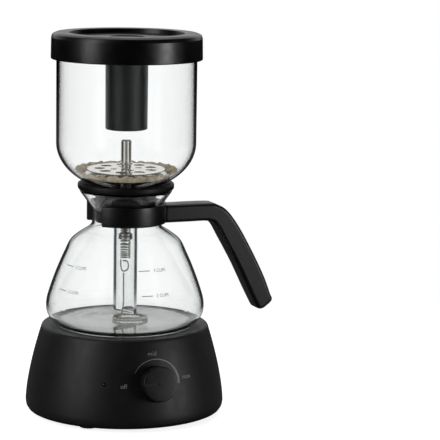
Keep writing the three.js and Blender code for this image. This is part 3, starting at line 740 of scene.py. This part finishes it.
# %% [markdown]
# ## The carafe
#
# The carafe is blown into a turning mould: a flat bottom with a generous corner, the widest ring
# low down, a long cone that sweeps in to a narrow neck, and a mouth that flares again to seat the
# rubber. The outside follows the mould and the inside is the same line one wall further in. The
# bottom is thicker, and the rim is fire-polished round.

# %% Carafe
WALL = 2.0
CORNER = 15.0
CONE_RISE = 65
NECK_LENGTH = 9
NECK = 26.0
LIP = 36.2
carafe_bottom = carafe_low.z
widest_z = carafe_bottom + CORNER + 2.8
neck_low = widest_z + CONE_RISE
neck_high = neck_low + NECK_LENGTH
lip_z = neck_high + 14.5
shares = [(1, 0), (0.975, 0.077), (0.891, 0.225), (0.759, 0.42), (0.602, 0.617)]
shares += [(0.465, 0.763), (0.235, 0.862), (0.092, 0.911), (0.02, 0.955), (0, 1)]
cone = [(NECK + (carafe_high.x - NECK) * across, widest_z + CONE_RISE * up) for across, up in shares]
throat = [(NECK, neck_high - 3), (NECK + 0.4, neck_high + 0.5), (NECK + 2.6, neck_high + 3.8), (LIP, lip_z)]
carafe_outside = [
    *bend(carafe_high.x - CORNER, carafe_bottom + CORNER, CORNER, -90, 0, 14),
    *spline(cone, 5),
    *spline(throat, 5),
]
carafe_floor = carafe_bottom + 3.6
inside = [p for p in offset(carafe_outside, WALL) if p[1] > carafe_floor + 0.4]
corner_in = (radius_at(offset(carafe_outside, WALL), carafe_floor), carafe_floor)
carafe_shape = (
    [(0, carafe_bottom, 0)]
    + [(r, z, 0) for r, z in carafe_outside[:-1]]
    + [(*carafe_outside[-1], 0.9), (*inside[-1], 0.9)]
    + [(r, z, 0) for r, z in reversed(inside[:-1])]
    + [(*corner_in, 2.5), (0, carafe_floor, 0)]
)
piece(
    "carafe_blown_glass",
    turned(rounded(carafe_shape, loop=False), 192),
    borosilicate,
    "carafe",
    ["carafe_glass"],
    crease=60,
)

# %% [markdown]
# ### Cup marks
#
# A short line and a count stand at each filling height, once to the right of the middle and once at
# the left. They are a decal fired on the glass, so the flat print is wrapped on the outline's radius
# at its height, five hundredths of a millimetre proud.

# %% Cup marks
SCALE_ANGLES = {"cup_marks": 0.03, "cup_marks_left": -1.25}


def round_carafe(turn):
    """A wrap of flat points on the carafe, turned from the front; up is a height in the frame."""

    def wrap(across, up):
        r = radius_at(carafe_outside, up) + 0.05
        angle = across / r + turn
        return Vector((r * math.sin(angle), -r * math.cos(angle), up))

    return wrap


def stroke(left, right, up, thick, wrap):
    """A thin printed line round the carafe."""
    steps = 12
    at = [left + (right - left) * i / steps for i in range(steps + 1)]
    verts = [wrap(x, up + h) for x in at for h in (-thick / 2, thick / 2)]
    return verts, [[2 * i, 2 * i + 2, 2 * i + 3, 2 * i + 1] for i in range(steps)]


for name, turn in SCALE_ANGLES.items():
    wrap = round_carafe(turn)
    marks = []
    for cups, height in ((3, 116.4), (2, 98.3)):
        marks.append(stroke(-8.5, 0.5, height, 0.5, wrap))
        marks.append(words(f"{cups} CUPS", 3.4, 8.6, height - 1.2, wrap))
    piece(name, merged(marks), glass_ink, "carafe")

# %% [markdown]
# ## The handle
#
# The handle is one moulding: a collar that grips the glass neck, open at the back so it can be
# sprung on, and a bar that leaves it level and turns down in one sweep. The bar is an outline
# pushed through its thickness with rounded edges, which is how its two-part mould shapes it.

# %% Handle bar and collar
_, handle_high = span("handle")
THICK = 18.5
COLLAR_TALL = 15.7
collar_low = neck_low + (NECK_LENGTH - COLLAR_TALL) / 2 + 1.5
collar_high = collar_low + COLLAR_TALL
bar_top = collar_high - 2.7
tip_x = handle_high.x
outer_edge = [
    *((29, 0), (66, 0), (74.5, -1.6), (83.2, -7.2), (93.5, -21)),
    *((105.4, -42), (115.2, -61.5), (tip_x - 1.6, -76.5)),
]
tip = [
    *((tip_x, -79.5), (tip_x - 0.4, -81.8), (tip_x - 2.6, -84)),
    *((tip_x - 7, -87.2), (tip_x - 9.6, -88), (tip_x - 12, -87.6)),
]
inner_edge = [
    *((109.2, -85.6), (102.2, -72), (91.4, -50.2), (79.6, -29.2)),
    *((72.6, -17.6), (65.8, -14.2), (50, -14), (29, -14)),
]
EDGE_ROUND = 2.6
edge = [(x, bar_top + z) for x, z in (*spline(outer_edge, 7), *tip, *spline(inner_edge, 7))]
bar = slab("handle_outline", [edge], THICK, EDGE_ROUND, 4, EDGE_ROUND)
upright = Matrix.Rotation(math.radians(90), 4, "X")
piece("handle_bar", moved(bar, upright), handle_black, "carafe", ["handle"])
COLLAR = 31.6
CLEAR = 0.5
grip = [(r + CLEAR, z) for r, z in carafe_outside if collar_low < z < collar_high]
grip_low = radius_at(carafe_outside, collar_low) + CLEAR
grip_high = radius_at(carafe_outside, collar_high) + CLEAR
collar_outline = rounded(
    [
        (min(grip_low, COLLAR - 1.2), collar_low, 0.3),
        (COLLAR, collar_low, 1.4),
        (COLLAR, collar_high, 1.4),
        (min(grip_high, COLLAR - 1.2), collar_high, 0.3),
        *((min(r, COLLAR - 1.2), z, 0) for r, z in reversed(grip)),
    ]
)
piece("handle_collar", turned(collar_outline, 120, 215, 290), handle_black, "carafe")

# %% [markdown]
# ## The upper bowl
#
# The bowl is a straight cylinder that ends in a dished bottom, drawn down into a long stem. The
# stem is ground off at a slant, so it can never seal against the carafe's bottom.

# %% Bowl
bowl_radius = bowl_high.x
rim_z = bowl_high.z
DISH = 37.7
wall_z = rim_z - 82.3
STEM = 9.2
SLANT = 4.0
JOIN = 16.0


def dish_z(r):
    """Height of the dish's outside at a radius."""
    return wall_z - DISH * math.sqrt(1 - (r / bowl_radius) ** 2)


join_angle = math.asin(JOIN / bowl_radius)
dish = []
for i in range(31):
    a = join_angle + (math.pi / 2 - join_angle) * i / 30
    dish.append((bowl_radius * math.sin(a), wall_z - DISH * math.cos(a)))
fillet = [(STEM, dish_z(JOIN) - 7), (STEM + 0.5, dish_z(JOIN) - 3.4), (STEM + 2.4, dish_z(JOIN) - 1.2), dish[0]]
stem_line = [(STEM, bowl_low.z + (dish_z(JOIN) - 7 - bowl_low.z) * i / 12) for i in range(12)]
bowl_outside = [*stem_line, *spline(fillet, 5)[:-1], *dish, (bowl_radius, rim_z)]
bowl_inside = offset(bowl_outside, WALL)
bowl_corners = (
    [(r, z, 0.8 if i in (0, len(bowl_outside) - 1) else 0) for i, (r, z) in enumerate(bowl_outside)]
    + [(r, z, 0.8 if i == 0 else 0) for i, (r, z) in enumerate(reversed(bowl_inside))]
)
bowl_verts, bowl_faces = turned(rounded(bowl_corners), 192)
ground = []
for x, y, z in bowl_verts:
    fade = max(0.0, 1 - (z - bowl_low.z) / 12)
    ground.append((x, y, z + fade * SLANT * (1 - x / STEM) / 2))
piece("upper_bowl_blown_glass", (ground, bowl_faces), borosilicate, "upper_bowl", ["upper_bowl_glass"], crease=60)

# %% [markdown]
# ### Gasket
#
# A thick rubber ring seals the bowl into the carafe's mouth. Its plug goes down into the neck and
# its flange swells to meet the glass above and below. Between the two it is waisted, so that the
# flare of the mouth stays clear round it.

# %% Gasket
seat = [(r, z) for r, z in offset(bowl_outside, -0.5) if neck_high < z < gasket_high.z - 0.6]
plug = NECK - WALL - 0.5
gasket_corners = [
    (STEM + 0.3, gasket_low.z, 0.5),
    (plug, gasket_low.z, 1.4),
    (plug, neck_high - 0.6, 1.5),
    (plug - 0.8, neck_high + 1.5, 1.5),
    (plug + 0.2, lip_z - 4.5, 3.0),
    (plug + 6.5, lip_z + 0.4, 2.0),
    (gasket_high.x - 0.3, lip_z + 1.2, 1.6),
    (gasket_high.x, gasket_high.z, 2.0),
    *((r, z, 0) for r, z in reversed(seat)),
    (STEM + 0.3, seat[0][1] - 1, 0.3),
]
piece("neck_gasket", turned(rounded(gasket_corners), 144), black_rubber, "upper_bowl", ["bowl_gasket"])

# %% [markdown]
# ## The filter
#
# Two perforated discs clamp a cloth between them. Post, discs and nut are stainless; the spring
# hangs through the stem and its hook catches the stem's end, which holds the filter down.

# %% Discs
HOLE_STEPS = 32
STAMPED_EDGE = 0.15


def circle(x, y, radius, steps):
    """A circle of points."""
    angles = [math.tau * k / steps for k in range(steps)]
    return [(x + radius * math.cos(a), y + radius * math.sin(a)) for a in angles]


for name, stands_for, outer_holes, inner_holes in (
    ("upper_disc", "filter_disc", (9, 4.3), (4, 2.6)),
    ("lower_disc", "filter_lower_disc", (10, 4.2), (5, 2.6)),
):
    low, high = span(stands_for)
    loops = [circle(0, 0, high.x - STAMPED_EDGE, 144), circle(0, 0, 2.6 + STAMPED_EDGE, HOLE_STEPS)]
    for (count, hole), centre in ((outer_holes, high.x - 9.8), (inner_holes, high.x / 2 - 4.9)):
        for i in range(count):
            a = math.tau * i / count
            loops.append(circle(centre * math.cos(a), centre * math.sin(a), hole + STAMPED_EDGE, HOLE_STEPS))
    middle = Matrix.Translation((0, 0, (low.z + high.z) / 2))
    stamped = slab(name, loops, high.z - low.z, STAMPED_EDGE, 1)
    piece(name, moved(stamped, middle), stainless, "filter", [stands_for])

# %% Post
post_low, post_high = span("filter_post")
foot_z = disc_high.z + 0.3
post_outline = rounded(
    [
        (0, post_low.z, 0),
        (2.2, post_low.z, 0.3),
        (2.2, foot_z, 0),
        (4.1, foot_z, 0.2),
        (4.1, foot_z + 3.1, 0.1),
        (post_high.x, foot_z + 3.3, 0.4),
        (post_high.x, foot_z + 4.7, 0.4),
        (4.1, foot_z + 4.9, 0.1),
        (4.1, post_high.z, 1.2),
        (0, post_high.z, 0),
    ],
    loop=False,
)
piece("polished_post", turned(post_outline, 64), stainless, "filter", ["filter_post"])

# %% [markdown]
# ### Cloth
#
# The cloth is cut as a flat round a little wider than the dish it ends up in. Its middle lies flat
# under the lower disc, and its edge has to close in as it rises round the disc, so it gathers into
# ruffles. The ruffles are drawn so deep that the edge keeps the length it was cut to.

# %% Cloth
cloth_low, _ = span("filter_cloth")
lower_low, _ = span("filter_lower_disc")
rest_z = (cloth_low.z + lower_low.z) / 2
rise = spline(
    [(2.7, rest_z), (18, rest_z), (31.5, rest_z), (34, rest_z + 0.9), (36.4, rest_z + 2.6), (39.9, rest_z + 4.9)], 7
)
lengths = [rise[0][0]]
for (r0, z0), (r1, z1) in zip(rise, rise[1:]):
    lengths.append(lengths[-1] + math.hypot(r1 - r0, z1 - z0))
AROUND = 480
phases = [(rng.uniform(0, math.tau), rng.uniform(0.7, 1.3)) for _ in range(3)]
waves = [(27, 1.0), (41, 0.55), (63, 0.3)]
cloth_verts, cloth_faces = [], []
for (r, z), flat_r in zip(rise, lengths):
    slack = max(flat_r / r - 1, 0)
    depth = min(1.25, r * math.sqrt(slack) * 0.075)
    for i in range(AROUND):
        a = math.tau * i / AROUND
        ripple = sum(
            part * strong * math.sin(count * a + phase + 1.3 * math.sin(3 * a + phase))
            for (count, part), (phase, strong) in zip(waves, phases)
        )
        push = depth * ripple
        cloth_verts.append(((r - 0.6 * push) * math.cos(a), (r - 0.6 * push) * math.sin(a), z + 0.8 * push))
for k in range(len(rise) - 1):
    for i in range(AROUND):
        j = (i + 1) % AROUND
        cloth_faces.append([k * AROUND + i, k * AROUND + j, (k + 1) * AROUND + j, (k + 1) * AROUND + i])
cloth = piece("cotton_cloth", (cloth_verts, cloth_faces), cotton, "filter", ["filter_cloth"], crease=180)
thick = cloth.modifiers.new("thickness", "SOLIDIFY")
thick.thickness = 0.5 * MM
thick.offset = 0

# %% [markdown]
# ### Spring, hook, wire and chain
#
# A close-wound spring keeps the filter pressed on the dish. Below it hang the hook, a pull wire and
# a ball chain, which lies on the carafe's bottom and makes the water boil evenly. The coil is a
# helix of points, the hook's wire is bent back into an eye, and the chain is beads on a thin link.

# %% Wire parts
spring_low, spring_high = span("filter_spring")
WIRE = 1.05
coil_radius = spring_high.x - WIRE / 2
TURNS = 34
PER_TURN = 20
total = TURNS * PER_TURN
coil = []
for i in range(total + 1):
    a = math.tau * i / PER_TURN
    z = spring_low.z + WIRE / 2 + (spring_high.z - spring_low.z - WIRE) * i / total
    coil.append((coil_radius * math.cos(a), coil_radius * math.sin(a), z))
piece("coil_spring", swept(coil, WIRE / 2, 8), spring_steel, "filter", ["filter_spring"])

collar_box_low, collar_box_high = span("spring_collar")
sleeve_outline = rounded(
    [
        (spring_high.x + 0.3, collar_box_low.z, 0.3),
        (collar_box_high.x, collar_box_low.z, 0.4),
        (collar_box_high.x, collar_box_high.z, 0.4),
        (spring_high.x + 0.3, collar_box_high.z, 0.3),
    ]
)
piece("coil_collar", turned(sleeve_outline, 48), stainless, "filter", ["spring_collar"])

hook_low, hook_high = span("filter_hook")
HOOK_WIRE = 0.6
side = spring_high.x - HOOK_WIRE
fall = hook_high.z - hook_low.z - HOOK_WIRE
hook_line = spline(
    [
        (-side, 0, hook_high.z),
        (-side, 0, hook_high.z - 0.55 * fall),
        (-0.6 * side, 0, hook_high.z - fall),
        (0.45 * side, 0, hook_high.z - 0.93 * fall),
        (0.7 * side, 0, hook_high.z - 0.55 * fall),
        (0.4 * side, 0, hook_high.z - 0.2 * fall),
        (-0.55 * side, 0, hook_high.z - 0.12 * fall),
    ],
    8,
)
piece("stem_hook", swept(hook_line, HOOK_WIRE, 10), spring_steel, "filter", ["filter_hook"])

wire_low, wire_high = span("pull_wire")
chain_low, chain_high = span("ball_chain")
chain_x = (chain_low.x + chain_high.x) / 2
chain_y = (chain_low.y + chain_high.y) / 2
chain_z = (chain_low.z + chain_high.z) / 2
BALL = 1.5
chain_radius = (chain_high.x - chain_low.x) / 2 - BALL
wire_x = wire_high.x - 0.9
wire_line = spline(
    [
        (wire_x, 0, wire_high.z),
        (wire_x, 0, bowl_low.z + 20),
        (wire_x, 0, bowl_low.z + 8),
        (-4, -1, bowl_low.z - 1),
        (chain_x - chain_radius, chain_y, wire_low.z + HOOK_WIRE),
    ],
    10,
)
piece("pull_rod", swept(wire_line, HOOK_WIRE, 10), spring_steel, "filter", ["pull_wire"])

BALLS = 24
ball_shapes = []
ring_points = []
for i in range(BALLS):
    a = math.radians(180 + 345 * i / (BALLS - 1))
    at = Vector((chain_x + chain_radius * math.cos(a), chain_y + chain_radius * math.sin(a), chain_z))
    ring_points.append(at)
    half_circle = [(BALL * math.cos(b), BALL * math.sin(b)) for b in [math.pi * (k / 10 - 0.5) for k in range(11)]]
    half_circle[0] = (0, -BALL)
    half_circle[-1] = (0, BALL)
    ball_shapes.append(moved(turned(half_circle, 16), Matrix.Translation(at)))
ball_shapes.append(swept(ring_points, 0.4, 8))
piece("bead_chain", merged(ball_shapes), stainless, "filter", ["ball_chain"])

# %% [markdown]
# ## The lid
#
# The lid is a satin black cap that drops over the bowl's rim, with a shallow dish in its top. The
# tube under it is closed at the top and open below. Turned over, the lid becomes the stand that
# holds the bowl's stem while the bowl is emptied.

# %% Lid cap and tube
inner = bowl_radius + 1.3
outer = cap_high.x
top = cap_high.z
floor_z = top - 4
TUBE = 16.7
spigot = bowl_radius - WALL - 1.5
cap_outline = rounded(
    [
        (inner + 0.4, cap_low.z, 0.4),
        (outer, cap_low.z, 0.8),
        (outer - 0.3, top - 4, 1.5),
        (outer - 1.1, top - 1.3, 1.4),
        (outer - 4.2, top, 1.8),
        (44.5, top, 0.7),
        (43.9, floor_z, 0.8),
        (TUBE + 0.5, floor_z, 0.3),
        (TUBE + 0.5, floor_z - 2.4, 0.2),
        (spigot, floor_z - 2.4, 0.8),
        (spigot, top - 2.4, 0.2),
        (inner, top - 2.4, 0.3),
    ]
)
piece("cap", turned(cap_outline, 192), satin_black, "lid", ["lid_cap"])
tube_top = tube_high.z
collar_z = floor_z - 2.7
tube_outline = rounded(
    [
        (0, tube_top - 3, 0),
        (TUBE - 2, tube_top - 3, 1),
        (TUBE - 2.4, tube_low.z, 0.3),
        (TUBE - 0.4, tube_low.z, 1.2),
        (TUBE, collar_z - 2, 0.3),
        (tube_high.x, collar_z - 2, 0.3),
        (tube_high.x, collar_z, 0.3),
        (TUBE, collar_z, 0.2),
        (TUBE, tube_top, 0.5),
        (TUBE - 2, tube_top, 0.5),
        (TUBE - 2.6, tube_top - 1, 0.5),
        (0, tube_top - 1, 0),
    ],
    loop=False,
)
piece("stand_tube", turned(tube_outline, 128), satin_black, "lid", ["lid_tube"])

# %% [markdown]
# ## Studio
#
# Glass shows itself by what it bends towards the eye, so it is lit against a bright field with
# darker sides: the walls stay clear and the edges draw themselves dark. Black mouldings need the
# opposite, a mostly dark room with tall soft lights either side of the camera, whose reflections
# model the curves. One real room can't be both at once. The world therefore asks what kind of ray
# is looking: the camera sees white, rays through glass see the bright field, rays that run along a
# glass wall see its dark edge, and mirrors see the dark room with a low bright band. Metal inside
# the glass sees bright flanks as well, which draw the light lines down its sides.

# %% World
AZIMUTH = -19.5
look = Vector((-math.sin(math.radians(AZIMUTH)), math.cos(math.radians(AZIMUTH)), 0))
world = bpy.data.worlds.new("studio")
scene.world = world
world.use_nodes = True
sky = world.node_tree
sky.nodes.clear()
direction = node(sky, "ShaderNodeTexCoord").outputs["Generated"]
ahead = node(sky, "ShaderNodeVectorMath", {0: direction, 1: look}, operation="DOT_PRODUCT").outputs["Value"]
across = node(sky, "ShaderNodeVectorMath", {0: direction, 1: look.cross((0, 0, 1))}, operation="DOT_PRODUCT")
aside = node(sky, "ShaderNodeMath", {0: across.outputs["Value"]}, operation="ABSOLUTE").outputs[0]
height = node(sky, "ShaderNodeSeparateXYZ", {0: direction}).outputs[2]

# %% Which rays run along a glass wall
path = node(sky, "ShaderNodeLightPath").outputs
walls_crossed = path["Transmission Depth"]
one_wall = node(sky, "ShaderNodeMath", {0: walls_crossed, 1: 3}, operation="LESS_THAN").outputs[0]
stem_wall = node(sky, "ShaderNodeMath", {0: walls_crossed, 1: 6}, operation="COMPARE").outputs[0]
wall_count = node(sky, "ShaderNodeMath", {0: one_wall, 1: stem_wall}, operation="ADD").outputs[0]
glanced = node(sky, "ShaderNodeMath", {0: path["Glossy Depth"], 1: 0.5}, operation="GREATER_THAN").outputs[0]
along_wall = node(sky, "ShaderNodeMath", {0: glanced, 1: wall_count}, operation="MULTIPLY").outputs[0]
elsewhere = node(sky, "ShaderNodeMath", {0: 1.0, 1: along_wall}, operation="SUBTRACT").outputs[0]
inner_shine = node(sky, "ShaderNodeMath", {0: path["Glossy Depth"], 1: elsewhere}, operation="MULTIPLY").outputs[0]

# %% Soft bands of brightness
LIMITS = ("Value", "From Min", "From Max", "To Min", "To Max")
bands = {
    "foot": (height, 0.03, 0.1, 0.0, 1.0),
    "head": (height, 0.35, 0.7, 1.0, 0.0),
    "facing": (ahead, 0.3, 0.8, 0.0, 0.85),
    "zenith": (height, 0.7, 1.0, 0.0, 0.25),
    "near_side": (aside, 0.2, 0.5, 0.25, 0.75),
    "far_side": (aside, 0.8, 0.97, 1.0, 0.1),
    "seen_through": (along_wall, 0.0, 1.0, 1.18, 0.05),
}
for name, row in bands.items():
    step = node(sky, "ShaderNodeMapRange", dict(zip(LIMITS, row)), interpolation_type="SMOOTHSTEP")
    bands[name] = step.outputs[0]
low_band = node(sky, "ShaderNodeMath", {0: bands["foot"], 1: bands["head"]}, operation="MULTIPLY").outputs[0]
backdrop = node(sky, "ShaderNodeMath", {0: bands["facing"], 1: low_band}, operation="MULTIPLY").outputs[0]
mirrored = node(sky, "ShaderNodeMath", {0: backdrop, 1: bands["zenith"]}, operation="ADD").outputs[0]
flanks = node(sky, "ShaderNodeMath", {0: bands["near_side"], 1: bands["far_side"]}, operation="MULTIPLY").outputs[0]
lit_inside = node(sky, "ShaderNodeMath", {0: mirrored, 1: flanks}, operation="ADD").outputs[0]
print("bands of brightness:", ", ".join(bands))

# %% What each kind of ray sees
seen_through = bands["seen_through"]
past_glass = node(sky, "ShaderNodeMix", {0: inner_shine, 2: seen_through, 3: lit_inside}).outputs[0]
level_mix = node(sky, "ShaderNodeMix", {0: path["Is Transmission Ray"], 2: mirrored, 3: past_glass})
glow = node(sky, "ShaderNodeBackground", {"Color": paint("#ffffff"), "Strength": level_mix.outputs[0]})
white = node(sky, "ShaderNodeBackground", {"Color": paint("#ffffff"), "Strength": 1.0})
either = node(sky, "ShaderNodeMixShader", {0: path["Is Camera Ray"], 1: glow.outputs[0], 2: white.outputs[0]})
node(sky, "ShaderNodeOutputWorld", {"Surface": either.outputs[0]})
scene.view_settings.view_transform = "Standard"

# %% [markdown]
# ### Floor
#
# A pale table that fades out before its edge. A real backdrop is lit by lamps of its own, which the
# floor stands in for by glowing, for the camera and through glass only. In reflections it is darker,
# so it doesn't wash out the black mouldings from below.

# %% Floor
FLOOR = 1.6
FLOOR_GLOW = 0.86
floor_low, _ = span("foot_front_left")
floor_mesh = bpy.data.meshes.new("floor")
floor_mesh.from_pydata(
    [(x * FLOOR, y * FLOOR, floor_low.z * MM) for x, y in ((-1, -1), (1, -1), (1, 1), (-1, 1))], [], [[0, 1, 2, 3]]
)
floor = bpy.data.objects.new("floor", floor_mesh)
scene.collection.objects.link(floor)
pale, tree, shader = material(
    "pale laminate table, matt",
    {"Base Color": paint("#f6f6f5"), "Roughness": 0.6, "IOR": 1.5, "Emission Color": paint("#ffffff")},
)
mirror_ray = node(tree, "ShaderNodeLightPath").outputs["Is Glossy Ray"]
shades = {0: mirror_ray, 6: paint("#f6f6f5"), 7: paint("#6f6f6e")}
tone = node(tree, "ShaderNodeMix", shades, data_type="RGBA").outputs[2]
tree.links.new(tone, shader.inputs["Base Color"])
output = next(n for n in tree.nodes if n.type == "OUTPUT_MATERIAL")
place = node(tree, "ShaderNodeTexCoord").outputs["Object"]
reach = node(tree, "ShaderNodeVectorMath", {0: place}, operation="LENGTH").outputs["Value"]
fade = node(
    tree,
    "ShaderNodeMapRange",
    {"Value": reach, "From Min": 0.16, "From Max": 0.55, "To Min": 0.0, "To Max": 1.0},
    interpolation_type="SMOOTHSTEP",
).outputs[0]
clear = node(tree, "ShaderNodeBsdfTransparent")
rays = node(tree, "ShaderNodeLightPath").outputs
seen = node(tree, "ShaderNodeMath", {0: rays["Is Camera Ray"], 1: rays["Is Transmission Ray"]}, operation="MAXIMUM")
lift = node(tree, "ShaderNodeMath", {0: seen.outputs[0], 1: FLOOR_GLOW}, operation="MULTIPLY").outputs[0]
tree.links.new(lift, shader.inputs["Emission Strength"])
floor_mix = node(tree, "ShaderNodeMixShader", {0: fade, 1: shader.outputs[0], 2: clear.outputs[0]})
tree.links.new(floor_mix.outputs[0], output.inputs["Surface"])
floor_mesh.materials.append(pale)
print("floor at", round(floor_low.z, 2), "mm")

# %% [markdown]
# ### Lamps
#
# Three soft boxes light the mouldings and the metal: a tall one at the left, a small one at the
# right and a broad one above and behind. They would draw white bands on the glass, so they leave it
# out, and two faint ones light the glass alone.


# %% Lamps
LAMP_DISTANCE = 1.2


def softbox(name, azimuth, elevation, width, tall, power, lit):
    """A soft area light aimed at the middle of the brewer, lighting what a collection says."""
    light = bpy.data.lights.new(name, "AREA")
    light.shape = "RECTANGLE"
    light.size = width
    light.size_y = tall
    light.energy = power
    a, e = math.radians(azimuth), math.radians(elevation)
    centre = Vector((0, 0, 0.15))
    back = Vector((math.sin(a) * math.cos(e), -math.cos(a) * math.cos(e), math.sin(e)))
    lamp = bpy.data.objects.new(name, light)
    lamp.location = centre + back * LAMP_DISTANCE
    lamp.rotation_mode = "QUATERNION"
    lamp.rotation_quaternion = back.to_track_quat("Z", "Y")
    lamp.visible_camera = False
    lamp.light_linking.receiver_collection = lit
    scene.collection.objects.link(lamp)
    print(f"{name}: {power} W, {width} by {tall} m")


def glass_only(state):
    """A collection of the two glasses that a lamp leaves out, or lights alone."""
    made = bpy.data.collections.new(f"glasses {state.lower()}d")
    for name in ("carafe_blown_glass", "upper_bowl_blown_glass"):
        made.objects.link(bpy.data.objects[name])
    for member in made.collection_objects:
        member.light_linking.link_state = state
    return made


without_glass = glass_only("EXCLUDE")
glass_alone = glass_only("INCLUDE")
softbox("left softbox", AZIMUTH - 56, 18, 0.46, 1.0, 5, without_glass)
softbox("right softbox", AZIMUTH + 60, 0, 0.36, 0.4, 3.6, without_glass)
softbox("overhead softbox", AZIMUTH + 180, 68, 1.1, 1.1, 4, without_glass)
softbox("left sheen on glass", AZIMUTH - 40, 12, 0.3, 0.9, 0.35, glass_alone)
softbox("right sheen on glass", AZIMUTH + 52, 12, 0.26, 0.9, 0.3, glass_alone)

# %% [markdown]
# ### Camera
#
# A long lens a little above the brewer keeps the cylinders straight and shows just a little of the
# lid's top. The camera stands to the side that shows the handle in profile.

# %% Camera
DISTANCE = 1.56
CAMERA_Z = 0.4073
YAW = 2.7
PITCH = 9.42
ROLL = 0.9
camera_data = bpy.data.cameras.new("camera")
camera_data.sensor_width = 36
camera_data.lens = 165.9
camera = bpy.data.objects.new("camera", camera_data)
scene.collection.objects.link(camera)
scene.camera = camera
camera.location = (-look.x * DISTANCE, -look.y * DISTANCE, CAMERA_Z)
camera.matrix_world = (
    Matrix.Translation(camera.location)
    @ Matrix.Rotation(math.radians(AZIMUTH - YAW), 4, "Z")
    @ Matrix.Rotation(math.radians(90 - PITCH), 4, "X")
    @ Matrix.Rotation(math.radians(ROLL), 4, "Z")
)
print("camera at", tuple(round(c, 3) for c in camera.location))
